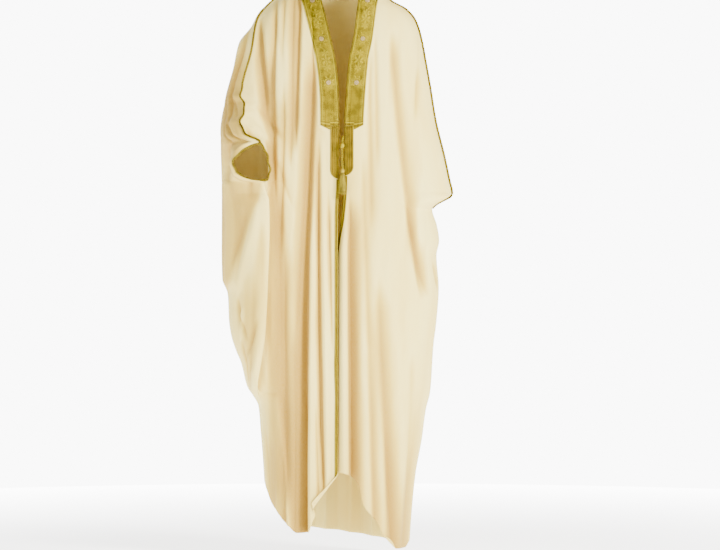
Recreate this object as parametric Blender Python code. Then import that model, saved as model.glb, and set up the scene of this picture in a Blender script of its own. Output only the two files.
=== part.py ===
# Bisht: a wide open cloak, hollow as worn, with gold bands, piping and a tassel cord.
# Metres, +Z up, front towards -Y, +X is the wearer's left. The origin is the middle of the
# shoulder line at the neck. "drop" is a distance straight down from the origin.

import math

import bpy
import numpy as np

CLOTH_WALL = 0.0016
SEAM_GAP = 0.0003
TRIM_WALL = 0.0012
TRIM_LIFT = 0.0016  # from the cloth's face to the underside of a trim
SHOULDER_LIFT = 0.0030  # how much more the bands stand off over the shoulders
BAND_WIDTH = 0.050
LOWER_BAND_WIDTH = 0.024
EDGE_TRIM_WIDTH = 0.008
PIPING_RADIUS = 0.0022
PIPING_LIFT = 0.0024
CUFF_TRIM_RADIUS = 0.0026
BAND_END = 0.400  # drop of the wide band's lower end
LOWER_BAND_END = {"right": 0.540, "left": 0.531}
FAN_DROP = 0.090  # above this drop the band's cross lines turn to follow the shoulder
HEM_FREE = 0.640  # rows are level down to here, and below it they run out to the hem
LENGTH = 1.500  # nominal drop of the hem
BACK_ROUNDNESS = 2.3
FRONT_ROUNDNESS = 2.6
SIDE_LEAN = 0.020  # how far behind the shoulder line the bent arm's elbow side lies
SIDE_LEAN_FROM = 0.300  # drop from which that lean is whole
# Where the right drape's shoulder lies, as parts of the way to its outer side, across and back.
DRAPE_SHOULDER = (0.74, 0.68)
# A lip this far out is fully rolled, and the drape's crown then lies this step (x, y) off it.
FULL_LIP = 0.008
CROWN_STEP = (-0.011, -0.008)
LEFT_ROUND = 0.76  # the back's own rounding stops at this part of the left half width

# Half widths of the outline seen from the front: drop, half width.
RIGHT_OUTLINE = (
    (0.000, 0.079), (0.030, 0.130), (0.064, 0.188), (0.085, 0.215), (0.130, 0.241),
    (0.172, 0.273), (0.239, 0.290), (0.329, 0.313), (0.416, 0.323), (0.541, 0.321),
    (0.804, 0.319), (0.840, 0.306), (0.914, 0.301), (0.954, 0.294), (0.998, 0.279),
    (1.022, 0.268), (1.097, 0.246), (1.141, 0.221), (1.215, 0.214), (1.290, 0.208),
    (1.500, 0.198),
)
LEFT_OUTLINE = (
    (0.000, 0.079), (0.030, 0.103), (0.064, 0.134), (0.081, 0.167), (0.111, 0.194),
    (0.164, 0.211), (0.223, 0.222), (0.284, 0.233), (0.382, 0.249), (0.476, 0.272),
    (0.541, 0.286), (0.574, 0.293), (0.615, 0.242), (0.660, 0.255), (0.700, 0.261),
    (0.739, 0.254), (0.827, 0.260), (0.914, 0.254), (0.980, 0.246), (1.105, 0.237),
    (1.150, 0.226), (1.230, 0.215), (1.325, 0.198), (1.412, 0.189), (1.520, 0.181),
)
# How far the cloth stands in front of and behind the shoulder line: drop, front, back.
DEPTHS = (
    (0.000, -0.020, 0.062), (0.030, -0.056, 0.079), (0.064, -0.081, 0.096),
    (0.110, -0.102, 0.114), (0.200, -0.125, 0.135), (0.300, -0.138, 0.145),
    (0.400, -0.143, 0.147), (0.600, -0.146, 0.147), (0.800, -0.148, 0.154),
    (1.100, -0.151, 0.172), (1.500, -0.156, 0.198),
)
# Front edges: drop, right x, right y, left x, left y. Below the bands the left edge slips
# behind the right one.
EDGES = (
    (0.000, -0.067, -0.020, 0.067, -0.020), (0.030, -0.060, -0.056, 0.056, -0.056),
    (0.064, -0.052, -0.080, 0.046, -0.080), (0.110, -0.040, -0.101, 0.040, -0.101),
    (0.170, -0.0265, -0.119, 0.032, -0.119), (0.223, -0.0150, -0.129, 0.0215, -0.129),
    (0.276, -0.0085, -0.136, 0.0165, -0.136), (0.329, -0.0050, -0.140, 0.0125, -0.140),
    (0.400, -0.0040, -0.143, 0.0090, -0.143), (0.540, -0.0045, -0.145, 0.0090, -0.143),
    (0.640, -0.0080, -0.148, 0.0030, -0.136), (0.750, -0.0085, -0.149, -0.0120, -0.128),
    (1.000, -0.0085, -0.150, -0.0140, -0.127), (1.500, -0.0085, -0.152, -0.0140, -0.127),
)
# The right side of the ring: drop, the groove or inner turn beside the arm (x, y), the seam
# (x, y), and the step from the seam or cuff rim to the lip that starts the outer side (x, y).
RIGHT_SIDE = (
    (0.000, -0.073, -0.012, -0.0775, -0.004, -0.0007, 0.004),
    (0.030, -0.104, -0.040, -0.1270, -0.012, -0.0012, 0.006),
    (0.064, -0.146, -0.062, -0.1850, -0.016, -0.0015, 0.008),
    (0.117, -0.185, -0.074, -0.2230, -0.042, -0.0060, 0.012),
    (0.196, -0.205, -0.094, -0.2360, -0.076, -0.0140, 0.013),
    (0.289, -0.200, -0.104, -0.2600, -0.081, -0.0120, 0.014),
    (0.320, -0.198, -0.105, -0.2640, -0.092, -0.0130, 0.013),
    (0.350, -0.196, -0.106, -0.2530, -0.112, -0.0140, 0.012),
    (0.392, -0.192, -0.110, -0.2640, -0.142, -0.0140, 0.010),
    (0.425, -0.189, -0.116, -0.2480, -0.170, -0.0160, 0.004),
    (0.445, -0.186, -0.122, -0.2120, -0.190, -0.0180, -0.002),
    (0.497, -0.178, -0.128, -0.2060, -0.186, -0.0060, 0.014),
    (0.548, -0.184, -0.130, -0.2000, -0.182, -0.0060, -0.008),
    (0.600, -0.203, -0.126, -0.1930, -0.162, 0.0050, -0.012),
    (0.700, -0.216, -0.120, -0.1950, -0.151, 0.0080, -0.013),
    (0.850, -0.220, -0.116, -0.2000, -0.147, 0.0080, -0.013),
    (0.950, -0.226, -0.112, -0.2060, -0.143, 0.0080, -0.013),
    (1.020, -0.231, -0.104, -0.2160, -0.134, 0.0070, -0.013),
    (1.080, -0.224, -0.094, -0.2220, -0.114, 0.0030, -0.014),
    (1.141, -0.192, -0.096, -0.2100, -0.066, -0.0040, 0.014),
    (1.215, -0.176, -0.108, -0.2060, -0.046, -0.0030, 0.015),
    (1.500, -0.160, -0.118, -0.1900, -0.046, -0.0030, 0.015),
)
# The left side of the body without the sleeve's flare: drop, half width.
LEFT_BODY = (
    (0.000, 0.079), (0.030, 0.103), (0.064, 0.134), (0.081, 0.167), (0.111, 0.194),
    (0.164, 0.211), (0.223, 0.222), (0.284, 0.231), (0.382, 0.240), (0.500, 0.246),
    (0.700, 0.257), (0.827, 0.260), (0.980, 0.246), (1.105, 0.237), (1.230, 0.215),
    (1.325, 0.198), (1.412, 0.189), (1.520, 0.181),
)
LEFT_SEAM_Y = (
    (0.000, -0.004), (0.064, 0.000), (0.085, 0.004), (0.140, -0.006), (0.300, -0.010),
    (0.574, -0.006), (0.615, 0.000), (0.800, 0.006), (1.500, 0.020),
)
# Cuff holes: the drops of the top and bottom, and how far each rim stands off that line.
RIGHT_CUFF = {"top": 0.445, "bottom": 0.548, "front": (0.018, 0.016), "back": (-0.078, -0.019)}
LEFT_CUFF = {"top": 0.574, "bottom": 0.615, "front": (0.000, -0.052), "back": (0.000, 0.050)}
CUFF_SAG = 1.35  # over 1 sets a rim's widest point below its middle
RIM_INSIDE = {"front": 0.985, "back": 0.006}  # parts of a row just inside a cuff's rims
RIM_REACH = CUFF_TRIM_RADIUS + 0.0036  # from a rim to the middle of its binding

# Hems: x, drop.
HEM_RIGHT = (
    (-0.209, 1.300), (-0.193, 1.352), (-0.176, 1.400), (-0.145, 1.444), (-0.115, 1.471),
    (-0.088, 1.470), (-0.070, 1.430), (-0.048, 1.400), (-0.030, 1.368), (-0.008, 1.328),
)
HEM_LEFT = (
    (-0.012, 1.308), (0.018, 1.318), (0.042, 1.345), (0.056, 1.397), (0.082, 1.428),
    (0.101, 1.458), (0.114, 1.500), (0.135, 1.514), (0.171, 1.517), (0.182, 1.502),
)
HEM_BACK = (
    (-0.209, 1.300), (-0.193, 1.352), (-0.176, 1.400), (-0.145, 1.444), (-0.100, 1.474),
    (0.000, 1.490), (0.120, 1.508), (0.171, 1.517), (0.182, 1.502),
)

# Folds: x at the top, x at the bottom, drop of the start and end, depth at the start and end
# (below 0 is a ridge) and half width.
FOLDS_RIGHT = (
    (-0.220, -0.193, 0.098, 0.390, 0.008, 0.010, 0.012),
    (-0.183, -0.172, 0.220, 0.560, 0.006, 0.007, 0.010),
    (-0.106, -0.117, 0.120, 0.400, 0.006, 0.006, 0.010),
    (-0.066, -0.106, 0.330, 1.560, 0.012, 0.034, 0.014),
    (-0.058, -0.042, 0.430, 1.300, 0.008, 0.012, 0.010),
    (-0.140, -0.150, 0.640, 1.560, 0.004, 0.016, 0.014),
    (-0.032, -0.022, 0.560, 1.000, 0.006, 0.005, 0.007),
)
FOLDS_LEFT = (
    (0.072, 0.080, 0.170, 0.670, 0.004, 0.005, 0.009),
    (0.130, 0.217, 0.150, 0.860, 0.006, 0.009, 0.013),
    (0.021, 0.032, 0.560, 1.560, 0.010, 0.028, 0.009),
    (0.009, 0.009, 0.620, 1.560, -0.004, -0.007, 0.008),
    (0.098, 0.148, 0.800, 1.560, 0.004, 0.018, 0.014),
    (0.070, 0.092, 0.900, 1.560, 0.002, 0.012, 0.010),
    (0.172, 0.233, 0.586, 0.850, 0.005, 0.006, 0.008),
)
FOLDS_BACK = (
    (-0.060, -0.048, 0.140, 1.560, 0.004, 0.026, 0.017),
    (-0.165, -0.118, 0.180, 1.560, 0.005, 0.024, 0.018),
    (-0.235, -0.165, 0.250, 1.560, 0.006, 0.018, 0.018),
    (0.030, 0.022, 0.220, 1.560, 0.003, 0.022, 0.015),
    (0.112, 0.092, 0.130, 1.560, 0.005, 0.028, 0.018),
    (0.178, 0.150, 0.200, 1.560, 0.005, 0.020, 0.015),
    (-0.112, -0.084, 0.500, 1.560, 0.002, 0.012, 0.011),
)

TOP_ROWS = (0.000, 0.008, 0.017, 0.026, 0.035, 0.045, 0.055, 0.064, 0.073, 0.083, 0.096, 0.112)
ARM_ROWS = (0.150, 0.196, 0.242, 0.289, 0.320, 0.350, 0.392, 0.410, 0.425, 0.436)
CUFF_STEPS = 5
LOWER_ROWS = 10
FRONT_COLUMNS = 14
BACK_COLUMNS = 24
SEAM_EASE = 0.09  # the part of a row beside a seam over which folds die out
FOLD_EASE = (0.12, 0.09)  # how far a fold takes to deepen at its start and to die out at its end
BAND_COLUMNS = 6
GRID_COLUMNS = 121
GRID_STEP = 0.004
LOWEST = 1.53  # drop of the form's last row, just below the lowest hem
TUBE_SIDES = 6
BAND_TOP = 2 * SEAM_GAP  # drop of a front band's upper edge
SHOULDER_PART = 0.985  # the part of a front row at which its band meets the shoulder seam
NECK_PARTS = (0.004, 0.996)  # the neck band's ends as parts of the back's row
NECK_TOP = 0.0004
LOWEST_REACH = 0.15  # the lower band's narrowest reach, as a part of its width
PIPING_START = 0.006  # from the band's edge to the piping
PIPING_STOP = 0.012  # from the piping to the top of the cuff
LEFT_PIPING_FROM = 0.460  # drop from which the left piping has rows of its own

CORD_RADIUS = 0.0026
CORD_ROUTE = (
    (0.0055, -0.1500, -0.4290), (0.0050, -0.1545, -0.4340), (0.0044, -0.1580, -0.4400),
    (0.0040, -0.1590, -0.4470), (0.0038, -0.1592, -0.4580), (0.0036, -0.1592, -0.4700),
    (0.0034, -0.1590, -0.4850), (0.0038, -0.1592, -0.5000), (0.0042, -0.1596, -0.5140),
)
KNOT_AT = 0.4530
KNOT_SIZE = (0.0058, 0.0062)
HEAD_PROFILE = ((0.0, 0.0006), (0.0034, 0.0008), (0.0056, 0.0034), (0.0058, 0.0068),
                (0.0044, 0.0098), (0.0040, 0.0112), (0.0, 0.0114))
SKIRT_PROFILE = ((0.0, 0.0), (0.0044, 0.0002), (0.0066, 0.0080), (0.0086, 0.0280),
                 (0.0102, 0.0560), (0.0, 0.0562))
KNOT_HOLE = 0.0032


def track(table, at, column=1):
    """The columns of a table from this one on, as smooth monotone curves of its first column."""
    table = np.asarray(table, float)
    knots, values = table[:, 0], table[:, column:]
    at = np.clip(np.asarray(at, float), knots[0], knots[-1])
    step = np.diff(knots)
    slope = np.diff(values, axis=0) / step[:, None]
    lean = np.zeros_like(values)
    lean[0], lean[-1] = slope[0], slope[-1]
    before, after = slope[:-1], slope[1:]
    near, far = (2 * step[1:] + step[:-1])[:, None], (step[1:] + 2 * step[:-1])[:, None]
    turning = before * after <= 0
    safe = np.where(turning, 1.0, before), np.where(turning, 1.0, after)
    lean[1:-1] = np.where(turning, 0.0, (near + far) / (near / safe[0] + far / safe[1]))
    k = np.clip(np.searchsorted(knots, at, side="right") - 1, 0, len(step) - 1)
    t = ((at - knots[k]) / step[k])[..., None]
    h = step[k][..., None]
    return (
        (2 * t**3 - 3 * t**2 + 1) * values[k] + (t**3 - 2 * t**2 + t) * h * lean[k]
        + (3 * t**2 - 2 * t**3) * values[k + 1] + (t**3 - t**2) * h * lean[k + 1]
    )


def through(stations):
    """A smooth line through plan points, as GRID_COLUMNS points spaced evenly along it."""
    stations = np.asarray(stations, float)
    steps = np.maximum(np.linalg.norm(np.diff(stations, axis=0), axis=1), 1e-4)
    table = np.column_stack([np.concatenate([[0.0], np.cumsum(steps)]), stations])
    line = track(table, np.linspace(0, table[-1, 0], 6 * GRID_COLUMNS))
    gone = np.concatenate([[0.0], np.cumsum(np.linalg.norm(np.diff(line, axis=0), axis=1))])
    even = np.linspace(0, gone[-1], GRID_COLUMNS)
    return np.column_stack([np.interp(even, gone, line[:, k]) for k in (0, 1)])


def cuff_bulge(cuff, panel, drop):
    """How far this panel's rim stands off the cuff's middle line at this drop."""
    down = (drop - cuff["top"]) / (cuff["bottom"] - cuff["top"])
    if not 0 < down < 1:
        return np.zeros(2)
    part = down**CUFF_SAG
    return np.array(cuff.get(panel, (0.0, 0.0))) * math.sqrt(4 * part * (1 - part))


def right_seam(panel, drop):
    _, _, x, y, _, _ = track(RIGHT_SIDE, drop)
    return np.array([x, y]) + cuff_bulge(RIGHT_CUFF, panel, drop)


def left_seam(panel, drop):
    seam = np.array([track(LEFT_OUTLINE, drop)[0], track(LEFT_SEAM_Y, drop)[0]])
    return seam + cuff_bulge(LEFT_CUFF, panel, drop)


def quarter(side, end_y, roundness, steps=9):
    """Plan points of a rounded quarter, from its side point to (0, end_y)."""
    turn = np.linspace(0, math.pi / 2, steps)
    power = 2 / roundness
    x = side[0] * np.cos(turn) ** power
    y = side[1] + (end_y - side[1]) * np.sin(turn) ** power
    x[-1] = 0.0
    return list(np.column_stack([x, y]))


def front_right_section(drop):
    edge_x, edge_y, _, _ = track(EDGES, drop)
    front, _ = track(DEPTHS, drop)
    turn_x, turn_y = track(RIGHT_SIDE, drop)[:2]
    stations = [(edge_x, edge_y)]
    for part in (0.2, 0.45, 0.7):
        stations.append((edge_x + part * (turn_x - edge_x), front + part**3 * (turn_y - front)))
    return through(stations + [(turn_x, turn_y), right_seam("front", drop)])


def left_turn(body, seam):
    """Plan points that round off from the body's last station to the left seam or cuff rim."""
    across, up = seam - body
    return [body + (0.45 * across, 0.16 * up), body + (0.78 * across, 0.46 * up),
            body + (0.96 * across, 0.80 * up)]


def front_left_section(drop):
    _, _, edge_x, edge_y = track(EDGES, drop)
    front, _ = track(DEPTHS, drop)
    side, seam_y = track(LEFT_BODY, drop)[0], track(LEFT_SEAM_Y, drop)[0]
    stations = [(edge_x, edge_y)]
    for part in (0.1, 0.3, 0.5, 0.66):
        depth = (1 - part**FRONT_ROUNDNESS) ** (1 / FRONT_ROUNDNESS)
        stations.append((edge_x + part * (side - edge_x), seam_y + depth * (front - seam_y)))
    seam = left_seam("front", drop)
    return through(stations + left_turn(np.array(stations[-1]), seam) + [seam])


def back_section(drop):
    """From the right seam or cuff rim, over the lip and round the back to the left one."""
    _, back = track(DEPTHS, drop)
    rim, seam = right_seam("back", drop), right_seam("", drop)
    lip = track(RIGHT_SIDE, drop)[4:]
    fold = rim + lip
    outer = np.array([-track(RIGHT_OUTLINE, drop)[0], SIDE_LEAN * min(1.0, drop / SIDE_LEAN_FROM)])
    start = seam + lip
    out, back_part = DRAPE_SHOULDER
    shoulder = np.array([start[0] + out * (outer[0] - start[0]),
                         outer[1] + back_part * (start[1] - outer[1])])
    rolled = min(1.0, max(0.0, lip[0] / FULL_LIP))
    crown = (1 - rolled) * (0.7 * fold + 0.3 * shoulder) + rolled * (fold + CROWN_STEP)
    body = np.array([track(LEFT_BODY, drop)[0], track(LEFT_SEAM_Y, drop)[0]])
    right_half = quarter(outer, back, BACK_ROUNDNESS)
    left_half = quarter(body, back, BACK_ROUNDNESS)
    left_half = [spot for spot in left_half if spot[0] < LEFT_ROUND * body[0]]
    left = left_seam("back", drop)
    turn = left_turn(left_half[0], left)
    return through([rim, fold, crown, shoulder] + right_half + left_half[-2::-1] + turn + [left])


def fold_depth(folds, x, drop):
    """How far the folds sink the cloth at these points."""
    depth = np.zeros_like(x)
    for top_x, low_x, start, end, first, last, width in folds:
        down = np.clip((drop - start) / (end - start), 0, 1)
        ease = np.clip((drop - start) / FOLD_EASE[0], 0, 1) * np.clip((end - drop) / FOLD_EASE[1], 0, 1)
        ease = ease * ease * (3 - 2 * ease)
        middle = top_x + (low_x - top_x) * down
        depth += (first + (last - first) * down) * ease * np.exp(-((x - middle) / width) ** 2)
    return depth


def unit(vectors):
    return vectors / np.maximum(np.linalg.norm(vectors, axis=-1, keepdims=True), 1e-12)


def panel_form(section, folds, hem, outwards, seams):
    """A panel's cloth surface as a fine grid of points over drop and distance along the row."""
    marks = [cuff[end] for cuff in (RIGHT_CUFF, LEFT_CUFF) for end in ("top", "bottom")]
    drops = np.unique(np.concatenate([np.arange(0, LOWEST, GRID_STEP), marks]))
    plan = np.array([section(drop) for drop in drops])
    along = unit(np.gradient(plan, axis=1))
    normal = outwards * np.stack([-along[..., 1], along[..., 0]], axis=-1)
    level = np.repeat(drops[:, None], GRID_COLUMNS, axis=1)
    part = np.linspace(0, 1, GRID_COLUMNS)
    from_seam = np.minimum(1 - part, part if seams == 2 else 1.0)
    fade = np.clip(from_seam / SEAM_EASE, 0, 1)
    depth = fold_depth(folds, plan[..., 0], level) * fade * fade * (3 - 2 * fade)
    plan = plan - normal * depth[..., None]
    points = np.concatenate([plan, -level[..., None]], axis=-1)
    across, down = np.gradient(points, axis=1), np.gradient(points, axis=0)
    normals = outwards * unit(np.cross(across, down))
    last = plan[np.searchsorted(drops, LENGTH)]
    return {"drops": drops, "points": points, "normals": normals, "hem": track(hem, last[:, 0])[:, 0]}


def share_seam_normals(front, back, column):
    """Gives both panels the same normals where they meet."""
    for row in range(len(front["drops"])):
        if np.allclose(front["points"][row, -1], back["points"][row, column], atol=1e-6):
            shared = unit(front["normals"][row, -1] + back["normals"][row, column])
            front["normals"][row, -1] = back["normals"][row, column] = shared


def on_form(form, part, drop):
    """Points and normals of a form at these parts of the row and drops, 0 to 1 and metres."""
    part, drop = np.broadcast_arrays(np.asarray(part, float), np.asarray(drop, float))
    row = np.interp(drop, form["drops"], np.arange(len(form["drops"])))
    column = np.clip(part, 0, 1) * (GRID_COLUMNS - 1)
    i = np.minimum(row.astype(int), len(form["drops"]) - 2)
    j = np.minimum(column.astype(int), GRID_COLUMNS - 2)
    s, t = (row - i)[..., None], (column - j)[..., None]
    found = []
    for grid in (form["points"], form["normals"]):
        above = grid[i, j] * (1 - t) + grid[i, j + 1] * t
        below = grid[i + 1, j] * (1 - t) + grid[i + 1, j + 1] * t
        found.append(above * (1 - s) + below * s)
    return found[0], unit(found[1])


def row_drops(form, parts, height):
    """The drop of a row, level above HEM_FREE and run out to the hem below it."""
    hem = np.interp(np.clip(parts, 0, 1), np.linspace(0, 1, GRID_COLUMNS), form["hem"])
    below = (height - HEM_FREE) / (LENGTH - HEM_FREE)
    return np.where(height <= HEM_FREE, height, HEM_FREE + below * (hem - HEM_FREE))


def shell(name, points, normals, low, high):
    """A closed wall between two lifts off a grid of points."""
    rows, columns = points.shape[:2]
    vertices = np.concatenate([(points + normals * lift).reshape(-1, 3) for lift in (high, low)])
    under = rows * columns
    faces = []

    def at(i, j):
        return i * columns + j

    def halves(a, b, c, d):
        faces.extend(((a, b, c), (a, c, d)))

    for i in range(rows - 1):
        for j in range(columns - 1):
            a, b, c, d = at(i, j), at(i, j + 1), at(i + 1, j + 1), at(i + 1, j)
            faces.extend(((a, c, b), (a, d, c)))
            halves(a + under, b + under, c + under, d + under)
    for j in range(columns - 1):
        a, b = at(0, j), at(0, j + 1)
        halves(a, b, b + under, a + under)
        a, b = at(rows - 1, j), at(rows - 1, j + 1)
        faces.extend(((a, b + under, b), (a, a + under, b + under)))
    for i in range(rows - 1):  # both sides of a seam are split along the same diagonal
        a, b = at(i, 0), at(i + 1, 0)
        faces.extend(((a, b + under, b), (a, a + under, b + under)))
        a, b = at(i, columns - 1), at(i + 1, columns - 1)
        halves(a, b, b + under, a + under)
    return solid(name, vertices, faces)


def solid(name, vertices, faces):
    """An object from a closed mesh, turned so that its faces point out."""
    mesh = bpy.data.meshes.new(name)
    mesh.from_pydata([tuple(v) for v in vertices], [], faces)
    mesh.calc_loop_triangles()
    corners = np.array([[mesh.vertices[v].co for v in tri.vertices] for tri in mesh.loop_triangles])
    if np.einsum("ij,ij->i", corners[:, 0], np.cross(corners[:, 1], corners[:, 2])).sum() < 0:
        mesh.flip_normals()
    mesh.update()
    body = bpy.data.objects.new(name, mesh)
    bpy.context.scene.collection.objects.link(body)
    return body


def tube(name, path, radius, sides=TUBE_SIDES, loop=False):
    """A round tube along points. A loop closes on itself, and an open one has flat ends."""
    path = np.asarray(path, float)
    if loop:
        along = unit(np.roll(path, -1, axis=0) - np.roll(path, 1, axis=0))
    else:
        along = unit(np.gradient(path, axis=0))
    side = unit(np.cross(along[0], (0.0, 1.0, 0.3)))
    vertices = []
    for point, forward in zip(path, along):
        side = unit(side - forward * side.dot(forward))
        other = np.cross(forward, side)
        for k in range(sides):
            angle = 2 * math.pi * k / sides
            vertices.append(point + radius * (math.cos(angle) * side + math.sin(angle) * other))
    count = len(path)
    shift = 0
    if loop:  # the last ring joins the first at the turn that fits it best
        first, last = np.array(vertices[:sides]), np.array(vertices[-sides:])
        gaps = [np.linalg.norm(last - np.roll(first, -k, axis=0)) for k in range(sides)]
        shift = int(np.argmin(gaps))
    faces = []
    for i in range(count if loop else count - 1):
        turn = shift if i == count - 1 else 0
        ahead = (i + 1) % count * sides
        for k in range(sides):
            n = (k + 1) % sides
            faces.append((i * sides + k, i * sides + n, ahead + (n + turn) % sides,
                          ahead + (k + turn) % sides))
    if not loop:
        faces += [tuple(range(sides))[::-1], tuple(range((count - 1) * sides, count * sides))]
    return solid(name, vertices, faces)


def turned(name, profile, centre, sides=10):
    """A solid turned about a vertical line from (radius, drop) pairs, top to bottom."""
    vertices, rings = [], []
    for radius, drop in profile:
        start = len(vertices)
        count = sides if radius else 1
        for k in range(count):
            angle = 2 * math.pi * k / count
            vertices.append((centre[0] + radius * math.cos(angle),
                             centre[1] + radius * math.sin(angle), centre[2] - drop))
        rings.append((start, count))
    faces = []
    for (a, many), (b, more) in zip(rings, rings[1:]):
        for k in range(sides):
            n = (k + 1) % sides
            if many == 1:
                faces.append((a, b + k, b + n))
            elif more == 1:
                faces.append((a + n, a + k, b))
            else:
                faces.append((a + n, a + k, b + k, b + n))
    return solid(name, vertices, faces)


def cuff_rows(cuff):
    turns = np.linspace(0, math.pi, CUFF_STEPS + 1)
    return list(cuff["top"] + (cuff["bottom"] - cuff["top"]) * (1 - np.cos(turns)) / 2)


def panel_rows():
    """The heights of every panel's rows, with close ones beside the cuffs."""
    rows = [*TOP_ROWS, *ARM_ROWS, *cuff_rows(RIGHT_CUFF), *cuff_rows(LEFT_CUFF)]
    return np.array(rows + list(np.linspace(HEM_FREE, LENGTH, LOWER_ROWS + 1)))


def column_parts(form, columns, lead, height):
    """Even columns, but the first one lies this far from the front edge, under its trim."""
    if not lead:
        return np.linspace(0, 1, columns + 1)
    row, _ = on_form(form, np.linspace(0, 1, GRID_COLUMNS), height)
    width = np.linalg.norm(np.diff(row, axis=0), axis=1).sum()
    first = min(lead / width, 1 / columns)
    return np.concatenate([[0.0], np.linspace(first, 1, columns)])


def panel(name, form, columns, lead, seam_ends):
    """A panel's wall. Its rows stop half a seam gap short of each seam that they reach."""
    grid = []
    for height in panel_rows():
        parts = column_parts(form, columns, lead, height)
        grid.append(np.column_stack([parts, row_drops(form, parts, height)]))
    grid = np.array(grid)
    points, normals = on_form(form, grid[..., 0], grid[..., 1])
    for end, beside in seam_ends:
        inwards = unit(points[:, beside] - points[:, end])
        points[:, end] += inwards * SEAM_GAP / 2
    return shell(name, points, normals, -CLOTH_WALL / 2, CLOTH_WALL / 2)


def reach_along(form, start, drop, distance):
    """The part of the row at this drop that lies this far from the start point."""
    low, high = 0.0, 1.0
    for _ in range(40):
        middle = (low + high) / 2
        point, _ = on_form(form, middle, drop)
        low, high = (middle, high) if np.linalg.norm(point - start) < distance else (low, middle)
    return low


def reach_down(form, part, distance):
    """The drop at which this part of the row lies this far from the neck edge."""
    start, _ = on_form(form, part, 0.0)
    low, high = 0.0, 0.2
    for _ in range(40):
        middle = (low + high) / 2
        point, _ = on_form(form, part, middle)
        low, high = (middle, high) if np.linalg.norm(point - start) < distance else (low, middle)
    return low


def lines_grid(form, starts, ends, columns):
    """A grid of points along straight lines in the form's own (part, drop) terms."""
    share = np.linspace(0, 1, columns + 1)
    starts, ends = np.array(starts), np.array(ends)
    spots = starts[:, None] * (1 - share[None, :, None]) + ends[:, None] * share[None, :, None]
    return on_form(form, spots[..., 0], spots[..., 1])


def trim_lifts():
    low = CLOTH_WALL / 2 + TRIM_LIFT
    return low, low + TRIM_WALL


def wide_band(name, form):
    """The embroidered band on a front edge, from the shoulder seam down to its stepped end."""
    neck = [(part, BAND_TOP) for part in np.linspace(SHOULDER_PART, 0, 13)]
    neck += [(0.0, drop) for drop in np.arange(0.004, 2 * FAN_DROP, 0.002)]
    neck_line, _ = on_form(form, *np.array(neck).T)
    outer = [(0, SHOULDER_PART, reach_down(form, 1.0, BAND_WIDTH))]  # nearest neck point, part, drop
    for drop in np.linspace(outer[0][2], FAN_DROP, 10)[1:]:
        low, high = 0.0, SHOULDER_PART
        for _ in range(30):
            middle = (low + high) / 2
            gaps = np.linalg.norm(neck_line - on_form(form, middle, drop)[0], axis=1)
            low, high = (middle, high) if gaps.min() < BAND_WIDTH else (low, middle)
        outer.append((max(int(np.argmin(gaps)), outer[-1][0] + 1), low, drop))
    outer = np.array(outer)
    nearest = np.linspace(0, outer[-1, 0], 16).round().astype(int)
    starts = [neck[k] for k in nearest]
    ends = [tuple(np.interp(k, outer[:, 0], outer[:, m]) for m in (1, 2)) for k in nearest]
    last = starts[-1][1]
    for share in np.linspace(0, 1, 10)[1:]:
        edge = last + (BAND_END - last) * share
        drop = FAN_DROP + (BAND_END - FAN_DROP) * share
        starts.append((0.0, edge))
        ends.append((reach_along(form, on_form(form, 0.0, edge)[0], drop, BAND_WIDTH), drop))
    points, normals = lines_grid(form, starts, ends, BAND_COLUMNS)
    proud = np.clip(1 + points[..., 2:] / (1.5 * FAN_DROP), 0, 1)
    return shell(name, points + normals * SHOULDER_LIFT * proud, normals, *trim_lifts())


def neck_band(form):
    """The band behind the neck, between the shoulder seams."""
    parts = np.linspace(*NECK_PARTS, 17)
    starts = [(part, NECK_TOP) for part in parts]
    ends = [(part, reach_down(form, part, BAND_WIDTH)) for part in parts]
    points, normals = lines_grid(form, starts, ends, BAND_COLUMNS)
    return shell("neck_band", points + normals * SHOULDER_LIFT, normals, *trim_lifts())


def lower_band(name, form, last):
    """The narrow band below the wide one. It narrows to its lower end in an arc."""
    width = LOWER_BAND_WIDTH
    arc = width * np.sin(np.linspace(0, math.pi / 2, 5)[1:])
    top = BAND_END + 2 * SEAM_GAP
    drops = np.concatenate([np.linspace(top, last - width, 6), last - width + arc])
    ends = []
    for drop in drops:
        into = max(0.0, (drop - last + width) / width)
        reach = width * max(LOWEST_REACH, math.sqrt(max(0.0, 1 - into * into)))
        ends.append((reach_along(form, on_form(form, 0.0, drop)[0], drop, reach), drop))
    points, normals = lines_grid(form, [(0.0, drop) for drop in drops], ends, 1)
    return shell(name, points, normals, *trim_lifts())


def edge_trim(name, form, first):
    """The narrow edging from the lower band to the hem, on the panel's first column."""
    rows = [row for row in panel_rows() if first + GRID_STEP < row < LENGTH]
    heights = [first] + rows + [LENGTH - GRID_STEP]
    starts, ends = [], []
    for height in heights:
        part = column_parts(form, FRONT_COLUMNS, EDGE_TRIM_WIDTH, height)[1]
        drops = row_drops(form, np.array([0.0, part]), height)
        starts.append((0.0, drops[0]))
        ends.append((part, drops[1]))
    points, normals = lines_grid(form, starts, ends, 1)
    return shell(name, points, normals, *trim_lifts())


def seam_piping(name, front, cuff):
    """Piping on the shoulder and overarm seam, from the band's edge to the cuff."""
    start = reach_down(front, 1.0, BAND_WIDTH) + PIPING_START
    stop = cuff["top"] - PIPING_STOP
    rows = [row for row in TOP_ROWS + ARM_ROWS if start + PIPING_START < row < stop - 0.003]
    if cuff is LEFT_CUFF:
        rows += list(np.linspace(LEFT_PIPING_FROM, stop - 0.018, 3))
    drops = np.array([start] + rows + [stop])
    points, normals = on_form(front, 1.0, drops)
    return tube(name, points + normals * (CLOTH_WALL / 2 + PIPING_RADIUS + PIPING_LIFT), PIPING_RADIUS)


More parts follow.
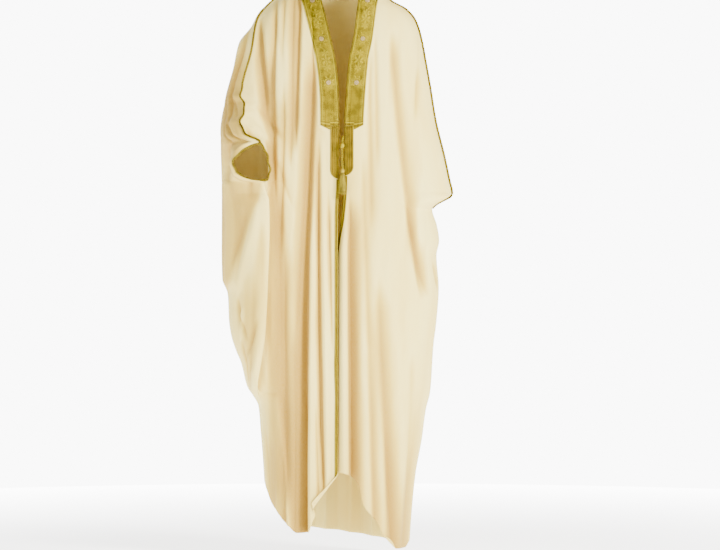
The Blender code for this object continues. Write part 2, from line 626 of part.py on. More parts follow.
def cuff_trim(name, front, back, cuff, back_end):
    """Binding just off the edge all round a cuff hole."""
    heights = np.array(cuff_rows(cuff))
    rims = []
    back_inside = abs(back_end - RIM_INSIDE["back"])
    for form, end, inside in ((front, 1.0, RIM_INSIDE["front"]), (back, back_end, back_inside)):
        rim, _ = on_form(form, end, heights)
        inner, _ = on_form(form, inside, heights)
        along = unit(np.gradient(rim, axis=0))
        off = rim - inner
        off -= along * np.einsum("ij,ij->i", off, along)[:, None]
        rims.append(rim + unit(off) * RIM_REACH)
    front_rim, back_rim = rims
    top, bottom = ((front_rim[k] + back_rim[k]) / 2 for k in (0, -1))
    top[2] -= RIM_REACH
    bottom[2] += RIM_REACH
    path = [top, *front_rim[1:-1], bottom, *back_rim[-2:0:-1]]
    return tube(name, path, CUFF_TRIM_RADIUS, loop=True)


def cord_line(points):
    """A smooth line through a route's own points, one every two diameters or so."""
    route = np.array(points)
    steps = np.linalg.norm(np.diff(route, axis=0), axis=1)
    table = np.column_stack([np.concatenate([[0.0], np.cumsum(steps)]), route])
    return track(table, np.linspace(0, table[-1, 0], 12))


def cord():
    curve = bpy.data.curves.new("tassel_cord", "CURVE")
    curve.dimensions = "3D"
    curve.bevel_depth = CORD_RADIUS
    curve.bevel_resolution = 2
    curve.use_fill_caps = True
    line = cord_line(CORD_ROUTE)
    spline = curve.splines.new("POLY")
    spline.points.add(len(line) - 1)
    for point, place in zip(spline.points, line):
        point.co = (*place, 1.0)
    body = bpy.data.objects.new("tassel_cord", curve)
    bpy.context.scene.collection.objects.link(body)
    return body


def knot():
    """A fat ring tied round the cord."""
    line = cord_line(CORD_ROUTE)
    order = np.argsort(-line[:, 2])
    centre = [np.interp(KNOT_AT, -line[order, 2], line[order, k]) for k in (0, 1)]
    half, hole = KNOT_SIZE[1], KNOT_HOLE
    section = [(hole, 0.3), (hole, -0.3), (0.75, -0.8), (1.0, -0.4), (1.0, 0.4), (0.75, 0.8)]
    sides = 12
    vertices, faces = [], []
    for k in range(sides):
        angle = 2 * math.pi * k / sides
        for radius, up in section:
            reach = radius if radius == hole else hole + radius * (KNOT_SIZE[0] - hole)
            vertices.append((centre[0] + reach * math.cos(angle), centre[1] + reach * math.sin(angle),
                             -KNOT_AT + up * half))
    many = len(section)
    for k in range(sides):
        ahead = (k + 1) % sides
        for m in range(many):
            n = (m + 1) % many
            faces.append((k * many + m, k * many + n, ahead * many + n, ahead * many + m))
    return solid("tassel_knot", vertices, faces)


def material(name, colour, roughness, metallic):
    made = bpy.data.materials.new(name)
    made.use_nodes = True
    shader = made.node_tree.nodes["Principled BSDF"]
    shader.inputs["Base Color"].default_value = (*colour, 1.0)
    shader.inputs["Roughness"].default_value = roughness
    shader.inputs["Metallic"].default_value = metallic
    return made


def main():
    for old in list(bpy.data.objects):
        bpy.data.objects.remove(old, do_unlink=True)

    right = panel_form(front_right_section, FOLDS_RIGHT, HEM_RIGHT, 1, 1)
    left = panel_form(front_left_section, FOLDS_LEFT, HEM_LEFT, -1, 1)
    back = panel_form(back_section, FOLDS_BACK, HEM_BACK, 1, 2)
    share_seam_normals(right, back, 0)
    share_seam_normals(left, back, -1)

    cloth = [
        panel("front_right", right, FRONT_COLUMNS, EDGE_TRIM_WIDTH, [(-1, -2)]),
        panel("front_left", left, FRONT_COLUMNS, EDGE_TRIM_WIDTH, [(-1, -2)]),
        panel("back", back, BACK_COLUMNS, 0, [(0, 1), (-1, -2)]),
    ]
    gold = [
        wide_band("band_right", right),
        wide_band("band_left", left),
        neck_band(back),
        lower_band("lower_band_right", right, LOWER_BAND_END["right"]),
        lower_band("lower_band_left", left, LOWER_BAND_END["left"]),
        edge_trim("edge_trim_right", right, LOWER_BAND_END["right"] + 2 * SEAM_GAP),
        edge_trim("edge_trim_left", left, LOWER_BAND_END["left"] + 2 * SEAM_GAP),
        seam_piping("seam_piping_right", right, RIGHT_CUFF),
        seam_piping("seam_piping_left", left, LEFT_CUFF),
        cuff_trim("cuff_trim_right", right, back, RIGHT_CUFF, 0.0),
        cuff_trim("cuff_trim_left", left, back, LEFT_CUFF, 1.0),
    ]
    end = CORD_ROUTE[-1]
    skirt_top = (end[0], end[1], end[2] - HEAD_PROFILE[-1][1] - SEAM_GAP)
    tassel = [
        cord(),
        knot(),
        turned("tassel_head", HEAD_PROFILE, end),
        turned("tassel_skirt", SKIRT_PROFILE, skirt_top),
    ]
    for pieces, name, colour, roughness, metallic in (
        (cloth, "cream crepe", (0.86, 0.78, 0.60), 0.85, 0.0),
        (gold, "gold embroidery", (0.52, 0.38, 0.07), 0.45, 0.6),
        (tassel, "gold thread", (0.70, 0.55, 0.22), 0.50, 0.5),
    ):
        for piece in pieces:
            piece.data.materials.append(material(f"{name} {piece.name}", colour, roughness, metallic))


main()
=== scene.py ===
import math

import bpy
import numpy as np
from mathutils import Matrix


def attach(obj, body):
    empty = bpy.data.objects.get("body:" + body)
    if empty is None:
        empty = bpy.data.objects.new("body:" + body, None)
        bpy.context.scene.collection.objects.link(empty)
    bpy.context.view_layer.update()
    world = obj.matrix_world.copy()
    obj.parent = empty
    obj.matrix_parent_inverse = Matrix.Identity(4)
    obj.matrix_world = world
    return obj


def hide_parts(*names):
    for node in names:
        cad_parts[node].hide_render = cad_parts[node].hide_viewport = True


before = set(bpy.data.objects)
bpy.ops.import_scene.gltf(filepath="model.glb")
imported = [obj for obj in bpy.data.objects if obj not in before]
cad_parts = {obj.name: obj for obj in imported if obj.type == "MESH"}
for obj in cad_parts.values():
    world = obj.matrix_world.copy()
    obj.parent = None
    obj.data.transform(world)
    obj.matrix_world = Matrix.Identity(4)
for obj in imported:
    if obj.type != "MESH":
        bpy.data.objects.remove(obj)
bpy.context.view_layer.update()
print("frame loaded")

# Metres, +Z up, front towards -Y, +X is the wearer's left. "drop" is a distance down from the origin.


def inMetres(*rows):  # the tables are in millimetres
    return np.array(rows) / 1000


cloth = {
    "wall": 0.0016,
    "hemFree": 0.640,           # rows are level down to here, and below it they run out to the hem
    "length": 1.500,
    "backRoundness": 2.3,
    "frontRoundness": 2.6,
    "sideLean": 0.020,          # how far behind the shoulder line the bent arm's elbow side lies
    "sideLeanFrom": 0.300,
    "drapeShoulder": (0.74, 0.68),
    "fullLip": 0.008,           # a step to the lip this wide makes the crown hang free of it
    "crownStep": (-0.011, -0.008),
    "leftRound": 0.76,          # the back's own rounding stops at this part of the left half width
    "seamEase": 0.09,           # the part of a row beside a seam over which folds die out
    "lobeEase": 0.022,
    "foldEase": 0.12,
    "stiffEase": 0.009,         # from the held edge to the loose cloth
    "stiffLeast": 0.04,
    "hangFrom": 0.03,           # ripples grow from here down, over this much
    "hangOver": 0.25,
    "ruffle": 0.0020,
    "rufflePitch": 0.036,
    "cornerTurn": 2.6,          # radians a turned corner rolls, and the length over which the roll dies out
    "cornerFade": 0.035,
    "troughFrom": 0.0006,       # a fold deeper than this gets painted shade, and by this much more its painted shade is strong
    "troughDeep": 0.0042,
    # painted shade given evenly to the whole inner face of the cloth
    "insideShade": 0.12,
    "heldEdge": inMetres(       # drop, width held flat
        (0, 52), (400, 52), (420, 26), (530, 26), (560, 9), (1500, 9),
    ),
    "cuffSag": 1.35,            # over 1 sets a rim's widest point below its middle
    "gridStep": 0.004,
    "lowest": 1.53,
    "rows": ((0.0, 0.445, 74), (0.445, 0.548, 28), (0.548, 0.574, 4), (0.574, 0.615, 14), (0.615, 0.640, 4)),
    "lowerRows": 152,
    "frontColumns": 172,
    "backColumns": 172,
}

# half widths from the front: drop, half width
rightOutline = inMetres(
    (0, 79), (30, 130), (64, 188), (85, 215), (130, 241), (172, 273), (239, 290), (329, 313),
    (416, 323), (541, 321), (804, 319), (840, 306), (914, 301), (954, 294), (998, 279), (1022, 268),
    (1097, 246), (1141, 221), (1215, 214), (1290, 208), (1500, 198),
)
leftOutline = inMetres(
    (0, 79), (30, 103), (64, 134), (81, 167), (111, 194), (164, 211), (223, 222), (284, 233),
    (382, 249), (476, 272), (541, 286), (574, 293), (615, 242), (660, 255), (700, 261), (739, 254),
    (827, 260), (914, 254), (980, 246), (1105, 237), (1150, 226), (1230, 215), (1325, 198), (1412, 189),
    (1520, 181),
)
leftBody = inMetres(
    (0, 79), (30, 103), (64, 134), (81, 167), (111, 194), (164, 211), (223, 222), (284, 231),
    (382, 240), (500, 246), (700, 257), (827, 260), (980, 246), (1105, 237), (1230, 215), (1325, 198),
    (1412, 189), (1520, 181),
)
# drop, how far the front stands forward, how far the back stands behind
depths = inMetres(
    (0, -20, 62), (30, -56, 79), (64, -81, 96), (110, -102, 114), (200, -125, 135), (300, -138, 145),
    (400, -143, 147), (600, -146, 147), (800, -148, 154), (1100, -151, 172), (1500, -156, 198),
)
# front edges: drop, right x, right y, left x, left y
frontEdges = inMetres(
    (0, -67, -20, 67, -20), (30, -60, -56, 56, -56), (64, -52, -80, 46, -80),
    (110, -40, -101, 40, -101), (170, -26.5, -119, 32, -119), (223, -15, -129, 21.5, -129),
    (276, -8.5, -136, 16.5, -136), (329, -5, -140, 12.5, -140), (400, -4, -143, 9, -143),
    (540, -4.5, -145, 9, -143), (640, -8, -148, 3, -136), (750, -8.5, -149, -12, -128),
    (1000, -8.5, -150, -14, -127), (1500, -8.5, -152, -14, -127),
)
# right side: drop, groove beside the arm x and y, seam x and y, step from the seam to the lip x and y
rightSide = inMetres(
    (0, -73, -12, -77.5, -4, -0.7, 4),
    (30, -104, -40, -127, -12, -1.2, 6),
    (64, -146, -62, -185, -16, -1.5, 8),
    (117, -185, -74, -223, -42, -6, 12),
    (196, -205, -94, -236, -76, -14, 13),
    (289, -200, -104, -260, -81, -12, 14),
    (320, -198, -105, -264, -92, -13, 13),
    (350, -196, -106, -253, -112, -14, 12),
    (392, -192, -110, -264, -142, -14, 10),
    (425, -189, -116, -248, -170, -16, 4),
    (445, -186, -122, -212, -190, -18, -2),
    (497, -178, -128, -206, -186, -6, 14),
    (548, -184, -130, -200, -182, -6, -8),
    (600, -203, -126, -193, -162, 5, -12),
    (700, -216, -120, -195, -151, 8, -13),
    (850, -220, -116, -200, -147, 8, -13),
    (950, -226, -112, -206, -143, 8, -13),
    (1020, -231, -104, -216, -134, 7, -13),
    (1080, -224, -94, -222, -114, 3, -14),
    (1141, -192, -96, -210, -66, -4, 14),
    (1215, -176, -108, -206, -46, -3, 15),
    (1500, -160, -118, -190, -46, -3, 15),
)
leftSeamY = inMetres(
    (0, -4), (64, 0), (85, 4), (140, -6), (300, -10), (574, -6), (615, 0), (800, 6), (1500, 20),
)
# cuff holes: top, bottom, and how far each rim stands off the line between them
rightCuff = {"top": 0.445, "bottom": 0.548, "power": 0.5, "front": (0.018, 0.016), "back": (-0.078, -0.019)}
leftCuff = {"top": 0.574, "bottom": 0.615, "power": 0.85, "front": (0.000, -0.052), "back": (0.000, 0.050)}

# hems: x, drop
hemRight = inMetres(
    (-209, 1300), (-193, 1352), (-176, 1400), (-145, 1444), (-115, 1471), (-88, 1470), (-70, 1430),
    (-48, 1400), (-30, 1368), (-8, 1328),
)
hemLeft = inMetres(
    (-12, 1308), (18, 1318), (42, 1345), (56, 1397), (82, 1428), (101, 1458), (114, 1500), (135, 1514),
    (171, 1517), (182, 1502),
)
hemBack = inMetres(
    (-209, 1300), (-193, 1352), (-176, 1400), (-145, 1444), (-100, 1474), (0, 1490), (120, 1508),
    (171, 1517), (182, 1502),
)

# folds: place at the top, place at the bottom, start, end, depth at the start, depth at the end (below 0
# is a ridge), half width on the lower side of the place, half width on the higher side, bow
foldsRight = inMetres(
    (-222, -192, 70, 420, 12, 17, 14, 6, 0),
    (-184, -172, 190, 620, 9, 12, 14, 6, 0),
    (-171, -178, 20, 340, 9, 9, 10, 4, 0),
    (-105, -121, -60, 480, 12, 13, 14, 4, 2),
    (-78, -70, 60, 300, 8, 5, 5, 3, 0),
    (-66, -94, 200, 1600, 14, 38, 22, 5, -9),
    (-58, -42, 420, 1420, 10, 15, 9, 5, -4),
    (-35, -21, 540, 1040, 6, 6, 7, 4, 0),
    (-168, -158, 560, 1420, 6, 12, 14, 22, 4),
    (-148, -150, 700, 1600, 3, 10, 8, 12, 0),
    (-127, -134, -40, 560, 7, 6, 10, 7, 0),
    (-150, -156, -20, 260, 5, 3, 7, 5, 0),
    (-152, -160, 260, 760, 5, 6, 9, 5, 3),
    (-85, -120, 400, 980, 3, 5, 7, 5, 0),
    (-80, -80, 620, 1600, -4, -7, 5, 9, 0),
    (-174, -126, 1080, 1600, -4, -10, 8, 7, 0),
    (-46, -32, 640, 1600, -3, -6, 6, 5, 0),
    (-122, -128, 900, 1600, 3, 6, 9, 7, 0),
    (-192, -176, 1160, 1600, 3, 6, 14, 9, 0),
    (-70, -52, 1080, 1600, 3, 8, 6, 4, 0),
    (-60, -52, 520, 1300, 4, 6, 5, 3, -2),
    (-262, -180, 365, 450, -7, -6, 12, 10, 0),
    (-272, -196, 385, 475, 6, 7, 10, 9, 0),
    (-236, -150, 330, 445, 4, 6, 10, 8, 4),
    (-176, -120, 470, 640, 4, 4, 7, 10, 0),
)
foldsLeft = inMetres(
    (72, 80, 130, 700, 4, 5, 7, 11, 0),
    (130, 217, 120, 880, 6, 9, 9, 15, -9),
    (20, 30, 560, 1600, 12, 30, 5, 20, 0),
    (8, 10, 620, 1600, -5, -8, 9, 6, 0),
    (98, 150, 780, 1600, 4, 16, 9, 20, -6),
    (70, 94, 860, 1600, 3, 11, 7, 15, 0),
    (172, 236, 580, 870, 5, 7, 6, 9, -8),
    (88, 96, 90, 540, 3, 3, 5, 9, 0),
    (203, 196, 230, 400, 4, 3, 5, 7, 0),
    (55, 74, 440, 1000, 3, 5, 7, 12, 0),
    (190, 168, 940, 1600, 2, 6, 10, 14, 0),
    (238, 262, 735, 850, 4, 5, 4, 6, 0),
    (120, 128, 1180, 1600, 1, 6, 8, 12, 0),
)
foldsBack = inMetres(
    (-60, -48, 140, 1600, 4, 26, 15, 19, 3),
    (-165, -118, 180, 1600, 5, 24, 19, 14, -4),
    (-235, -165, 250, 1600, 6, 18, 16, 20, 6),
    (30, 22, 220, 1600, 3, 22, 12, 17, 2),
    (112, 92, 130, 1600, 5, 28, 20, 14, -3),
    (178, 150, 200, 1600, 5, 20, 13, 17, 3),
    (-112, -84, 500, 1600, 2, 12, 9, 12, 0),
    (66, 56, 330, 1600, -2, -7, 10, 8, 0),
    (-12, -10, 420, 1600, -2, -6, 9, 12, 0),
    (146, 122, 600, 1600, 2, 8, 7, 9, 0),
    (-200, -140, 620, 1600, 2, 9, 8, 10, 0),
)
foldsLobe = inMetres(  # places are distances from the right seam, over the drape below the right arm
    (22, 140, 550, 880, -6, -9, 20, 10, 0),
    (50, 165, 560, 800, 3, 6, 14, 12, 0),
    (130, 70, 835, 975, 9, 8, 6, 9, 10),
    (100, 120, 865, 1000, -7, -6, 8, 5, 0),
    (120, 80, 930, 1100, 7, 9, 10, 6, 0),
    (45, 90, 900, 1030, 6, 5, 6, 8, -6),
    (60, 52, 760, 1130, 3, 6, 18, 10, 4),
    (28, 60, 100, 450, 9, 13, 9, 12, 0),
    (70, 110, 200, 560, 5, 7, 13, 9, 0),
    (95, 25, 340, 480, 5, 9, 8, 7, 0),
    (120, 40, 420, 545, 6, 9, 7, 10, 6),
    (20, 70, 470, 600, 6, 6, 7, 6, 0),
    (50, 16, 290, 400, 4, 6, 5, 6, 0),
)


def track(table, at, column=1):  # the table's columns as smooth monotone curves of its first
    table = np.asarray(table, float)
    knots, values = table[:, 0], table[:, column:]
    at = np.clip(np.asarray(at, float), knots[0], knots[-1])
    step = np.diff(knots)
    slope = np.diff(values, axis=0) / step[:, None]
    lean = np.zeros_like(values)
    lean[0], lean[-1] = slope[0], slope[-1]
    before, after = slope[:-1], slope[1:]
    near, far = (2 * step[1:] + step[:-1])[:, None], (step[1:] + 2 * step[:-1])[:, None]
    turning = before * after <= 0
    safe = np.where(turning, 1.0, before), np.where(turning, 1.0, after)
    lean[1:-1] = np.where(turning, 0.0, (near + far) / (near / safe[0] + far / safe[1]))
    k = np.clip(np.searchsorted(knots, at, side="right") - 1, 0, len(step) - 1)
    t = ((at - knots[k]) / step[k])[..., None]
    h = step[k][..., None]
    return (
        (2 * t**3 - 3 * t**2 + 1) * values[k] + (t**3 - 2 * t**2 + t) * h * lean[k]
        + (3 * t**2 - 2 * t**3) * values[k + 1] + (t**3 - t**2) * h * lean[k + 1]
    )


def unit(vectors):
    return vectors / np.maximum(np.linalg.norm(vectors, axis=-1, keepdims=True), 1e-12)


def smooth(value):
    value = np.clip(value, 0, 1)
    return value * value * (3 - 2 * value)


def ridge(value, centre, width):
    return np.exp(-((value - centre) / width) ** 2)


def lengthsAlong(line):
    return np.concatenate([[0.0], np.cumsum(np.linalg.norm(np.diff(line, axis=0), axis=1))])


def lineThrough(stations, count):  # plan points evenly along a smooth line
    stations = np.asarray(stations, float)
    steps = np.maximum(np.linalg.norm(np.diff(stations, axis=0), axis=1), 1e-4)
    table = np.column_stack([np.concatenate([[0.0], np.cumsum(steps)]), stations])
    line = track(table, np.linspace(0, table[-1, 0], 4 * count))
    gone = lengthsAlong(line)
    even = np.linspace(0, gone[-1], count)
    return np.column_stack([np.interp(even, gone, line[:, k]) for k in (0, 1)])


def cuffBulge(cuff, side, drop):
    down = (drop - cuff["top"]) / (cuff["bottom"] - cuff["top"])
    if not 0 < down < 1:
        return np.zeros(2)
    part = down ** cloth["cuffSag"]
    return np.array(cuff.get(side, (0.0, 0.0))) * (4 * part * (1 - part)) ** cuff["power"]


def rightSeam(side, drop):
    row = track(rightSide, drop)
    window = smooth((drop - 0.27) / 0.05) * smooth((0.445 - drop) / 0.03)
    turn = 2 * math.pi * (drop - 0.29) / cloth["rufflePitch"]
    window += 0.9 * smooth((drop - 0.452) / 0.02) * smooth((0.545 - drop) / 0.02)
    ruffle = cloth["ruffle"] * window * np.array([math.sin(turn), 0.8 * math.cos(1.7 * turn)])
    return row[2:4] + ruffle + cuffBulge(rightCuff, side, drop)


def leftSeam(side, drop):
    seam = np.array([track(leftOutline, drop)[0], track(leftSeamY, drop)[0]])
    return seam + cuffBulge(leftCuff, side, drop)


def roundedQuarter(side, endY, roundness, steps=9):
    turn = np.linspace(0, math.pi / 2, steps)
    power = 2 / roundness
    x = side[0] * np.cos(turn) ** power
    y = side[1] + (endY - side[1]) * np.sin(turn) ** power
    x[-1] = 0.0
    return list(np.column_stack([x, y]))


def rightFrontPlan(drop, count):
    edgeX, edgeY, _, _ = track(frontEdges, drop)
    front, _ = track(depths, drop)
    turnX, turnY = track(rightSide, drop)[:2]
    stations = [(edgeX, edgeY)]
    for part in (0.2, 0.45, 0.7):
        stations.append((edgeX + part * (turnX - edgeX), front + part**3 * (turnY - front)))
    return lineThrough(stations + [(turnX, turnY), rightSeam("front", drop)], count)


def leftTurn(body, seam):
    across, up = seam - body
    return [body + (0.45 * across, 0.16 * up), body + (0.78 * across, 0.46 * up),
            body + (0.96 * across, 0.80 * up)]


def leftFrontPlan(drop, count):
    _, _, edgeX, edgeY = track(frontEdges, drop)
    front, _ = track(depths, drop)
    side, seamY = track(leftBody, drop)[0], track(leftSeamY, drop)[0]
    stations = [(edgeX, edgeY)]
    roundness = cloth["frontRoundness"]
    for part in (0.1, 0.3, 0.5, 0.66):
        depth = (1 - part**roundness) ** (1 / roundness)
        stations.append((edgeX + part * (side - edgeX), seamY + depth * (front - seamY)))
    seam = leftSeam("front", drop)
    return lineThrough(stations + leftTurn(np.array(stations[-1]), seam) + [seam], count)


def backPlan(drop, count):  # from the right seam, over its lip and round the back to the left seam
    _, back = track(depths, drop)
    rim, seam = rightSeam("back", drop), rightSeam("", drop)
    lip = track(rightSide, drop)[4:]
    fold = rim + lip
    lean = cloth["sideLean"] * min(1.0, drop / cloth["sideLeanFrom"])
    outer = np.array([-track(rightOutline, drop)[0], lean])
    across, behind = cloth["drapeShoulder"]
    shoulder = np.array([seam[0] + lip[0] + across * (outer[0] - seam[0] - lip[0]),
                         outer[1] + behind * (seam[1] + lip[1] - outer[1])])
    rolled = min(1.0, max(0.0, lip[0] / cloth["fullLip"]))
    crown = (1 - rolled) * (0.7 * fold + 0.3 * shoulder) + rolled * (fold + cloth["crownStep"])
    body = np.array([track(leftBody, drop)[0], track(leftSeamY, drop)[0]])
    rightHalf = roundedQuarter(outer, back, cloth["backRoundness"])
    leftHalf = [spot for spot in roundedQuarter(body, back, cloth["backRoundness"])
                if spot[0] < cloth["leftRound"] * body[0]]
    left = leftSeam("back", drop)
    turn = leftTurn(leftHalf[0], left)
    return lineThrough([rim, fold, crown, shoulder] + rightHalf + leftHalf[-2::-1] + turn + [left], count)


def foldDepth(folds, place, drop):
    depth = np.zeros_like(place)
    for top, low, start, end, first, last, widthBelow, widthAbove, bow in folds:
        down = np.clip((drop - start) / (end - start), 0, 1)
        easing = min(cloth["foldEase"], 0.4 * (end - start))
        ease = smooth(np.clip((drop - start) / easing, 0, 1) * np.clip((end - drop) / easing, 0, 1))
        off = place - (top + (low - top) * down + 4 * bow * down * (1 - down))
        width = np.where(off < 0, widthBelow, widthAbove)
        depth += (first + (last - first) * down) * ease * np.exp(-np.abs(off / width) ** 1.5)
    return depth


def softNoise(across, down, cellAcross, cellDown, seed):  # smooth values from -1 to 1 on a lattice
    u, v = across / cellAcross, down / cellDown
    lattice = np.random.RandomState(seed).uniform(-1, 1, (256, 256))
    i, j = np.floor(u).astype(int), np.floor(v).astype(int)
    s, t = smooth(u - i), smooth(v - j)
    found = 0
    for di, ws in ((0, 1 - s), (1, s)):
        for dj, wt in ((0, 1 - t), (1, t)):
            found = found + lattice[(i + di) % 256, (j + dj) % 256] * ws * wt
    return found


def turnCorner(points, x, drop, sideways, down, radius, lowest):  # rolls a corner of a front forwards
    past = (points[..., 0] - x) * sideways + (-points[..., 2] - drop) * down
    most, fade = cloth["cornerTurn"], cloth["cornerFade"]
    past -= fade * (1 - smooth((lowest + points[..., 2]) / fade))
    angle, over = np.clip(past / radius, 0, most), np.maximum(past - most * radius, 0)
    along = radius * np.sin(angle) + over * math.cos(most) - np.maximum(past, 0)
    ahead = radius * (1 - np.cos(angle)) + over * math.sin(most)
    return points + np.stack([along * sideways, -ahead, -along * down], axis=-1)


def panelForm(plan, count, folds, hem, outwards, seams, ripple, seed, lobe=(), turned=()):
    marks = [cuff[end] for cuff in (rightCuff, leftCuff) for end in ("top", "bottom")]
    drops = np.unique(np.concatenate([np.arange(0, cloth["lowest"], cloth["gridStep"]), marks]))
    flat = np.array([plan(drop, count) for drop in drops])
    along = unit(np.gradient(flat, axis=1))
    normal = outwards * np.stack([-along[..., 1], along[..., 0]], axis=-1)
    level = np.repeat(drops[:, None], count, axis=1)
    part = np.linspace(0, 1, count)
    fromSeam = np.minimum(1 - part, part if seams == 2 else 1.0)
    fade = smooth(fromSeam / cloth["seamEase"])
    reach = np.array([lengthsAlong(line) for line in flat])
    depth = foldDepth(folds, flat[..., 0], level) * fade
    depth += foldDepth(lobe, reach, level) * smooth(reach / cloth["lobeEase"])
    stiff = 1.0
    if seams == 1:  # the bands hold the front edges flat
        held = np.interp(drops, *cloth["heldEdge"].T)
        stiff = np.maximum(smooth((reach - held[:, None]) / cloth["stiffEase"]), cloth["stiffLeast"])
    hang = smooth((level - cloth["hangFrom"]) / cloth["hangOver"])
    waves = 0.0
    for step, (slant, wide, tall) in enumerate(rippleCells):
        waves = waves + ripple[step] * softNoise(reach + slant * level, level, wide, tall, seed + step)
    depth = depth * (0.35 + 0.65 * stiff) + waves * fade * stiff * (0.35 + 0.65 * hang)
    flat = flat - normal * depth[..., None]
    points = np.concatenate([flat, -level[..., None]], axis=-1)
    for corner in turned:
        points = turnCorner(points, *corner)
    across, down = np.gradient(points, axis=1), np.gradient(points, axis=0)
    normals = outwards * unit(np.cross(across, down))
    last = flat[np.searchsorted(drops, cloth["length"])]
    return {"drops": drops, "points": points, "normals": normals, "depth": depth, "reach": reach,
            "count": count, "hem": track(hem, last[:, 0])[:, 0]}


def shareSeamNormals(front, back, column):
    for row in range(len(front["drops"])):
        if np.allclose(front["points"][row, -1], back["points"][row, column], atol=1e-6):
            shared = unit(front["normals"][row, -1] + back["normals"][row, column])
            front["normals"][row, -1] = back["normals"][row, column] = shared


def onForm(form, part, drop, keys=("points", "normals")):
    part, drop = np.broadcast_arrays(np.asarray(part, float), np.asarray(drop, float))
    row = np.interp(drop, form["drops"], np.arange(len(form["drops"])))
    column = np.clip(part, 0, 1) * (form["count"] - 1)
    i = np.minimum(row.astype(int), len(form["drops"]) - 2)
    j = np.minimum(column.astype(int), form["count"] - 2)
    found = []
    for key in keys:
        grid = form[key]
        s, t = (row - i), (column - j)
        if grid.ndim == 3:
            s, t = s[..., None], t[..., None]
        above = grid[i, j] * (1 - t) + grid[i, j + 1] * t
        below = grid[i + 1, j] * (1 - t) + grid[i + 1, j + 1] * t
        mixed = above * (1 - s) + below * s
        found.append(unit(mixed) if key == "normals" else mixed)
    return found


def rowDrops(form, parts, height):  # level above hemFree, and run out to the hem below it
    hem = np.interp(np.clip(parts, 0, 1), np.linspace(0, 1, form["count"]), form["hem"])
    free = cloth["hemFree"]
    below = (height - free) / (cloth["length"] - free)
    return np.where(height <= free, height, free + below * (hem - free))


def newPiece(name, vertices, faces, material, marks=None, uvs=None, node=None):
    mesh = bpy.data.meshes.new(name)
    mesh.from_pydata(np.asarray(vertices).tolist(), [], [tuple(face) for face in faces])
    mesh.calc_loop_triangles()
    count = len(mesh.vertices)
    places = np.empty(count * 3)
    mesh.vertices.foreach_get("co", places)
    corners = np.empty(len(mesh.loop_triangles) * 3, int)
    mesh.loop_triangles.foreach_get("vertices", corners)
    corners = places.reshape(-1, 3)[corners.reshape(-1, 3)]
    if np.einsum("ij,ij->i", corners[:, 0], np.cross(corners[:, 1], corners[:, 2])).sum() < 0:
        mesh.flip_normals()
    for key, values in (marks or {}).items():
        mesh.attributes.new(key, "FLOAT", "POINT").data.foreach_set("value", np.asarray(values, float).ravel())
    if uvs is not None:
        loops = np.empty(len(mesh.loops), int)
        mesh.loops.foreach_get("vertex_index", loops)
        corners = np.asarray(uvs, float).reshape(-1, 2)[loops]
        mesh.uv_layers.new(name="weave").data.foreach_set("uv", corners.ravel())
    mesh.polygons.foreach_set("use_smooth", np.ones(len(mesh.polygons), bool))
    mesh.update()
    piece = bpy.data.objects.new(name, mesh)
    bpy.context.scene.collection.objects.link(piece)
    mesh.materials.append(material)
    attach(piece, "root")
    if node:
        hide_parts(node)
    return piece


def shellGrid(rows, columns):  # faces of a closed wall: upper grid, then lower grid
    index = np.arange(rows * columns).reshape(rows, columns)
    a, b, c, d = index[:-1, :-1], index[:-1, 1:], index[1:, 1:], index[1:, :-1]
    under = rows * columns
    upper = np.stack([a, d, c, b], axis=-1).reshape(-1, 4)
    lower = np.stack([a, b, c, d], axis=-1).reshape(-1, 4) + under
    rims = []
    for line, turn in ((index[0], 1), (index[-1], 0), (index[:, 0], 0), (index[:, -1], 1)):
        p, q = line[:-1], line[1:]
        order = (p, q, q + under, p + under) if turn else (q, p, p + under, q + under)
        rims.append(np.stack(order, axis=-1))
    return np.concatenate([upper, lower, *rims]).tolist()


def wallPiece(name, points, normals, low, high, material, marks, uvs, node, inner=None):
    rows, columns = points.shape[:2]
    vertices = [(points + normals * np.broadcast_to(lift, (rows, columns))[..., None]).reshape(-1, 3)
                for lift in (high, low)]
    both = {key: np.concatenate([value.ravel(), value.ravel() if inner is None else np.full(value.size, inner)])
            for key, value in marks.items()}
    return newPiece(name, np.concatenate(vertices), shellGrid(rows, columns), material, both,
                    np.tile(uvs.reshape(-1, 2), (2, 1)), node)


def goldMarks(bright, silver=0.0, dark=0.0):  # how bright, silvery and dark the thread is; bright is partly a painted highlight and dark partly painted shade
    return {"bright": bright, "silver": np.broadcast_to(silver, bright.shape),
            "dark": np.broadcast_to(dark, bright.shape)}


# Painted highlight on the crests of the strands and painted shade in the grooves between them, the grooves that
# roundTube cuts.
def twistMarks(path, sides, twist, bright, dark, sharpness):
    turn = np.tile(2 * math.pi * np.arange(sides) / sides, len(path))
    valley = 0.5 - 0.5 * np.cos(2 * turn - twist * np.repeat(lengthsAlong(path), sides))
    return goldMarks(bright * (1 - valley), 0.0, dark * smooth(valley * sharpness - 0.5))


def joinTubes(tubes):  # points, faces and uvs of several tubes as one
    faces, offset = [], 0
    for points, around, _ in tubes:
        faces += [tuple(k + offset for k in face) for face in around]
        offset += len(points)
    return np.concatenate([tube[0] for tube in tubes]), faces, np.concatenate([tube[2] for tube in tubes])


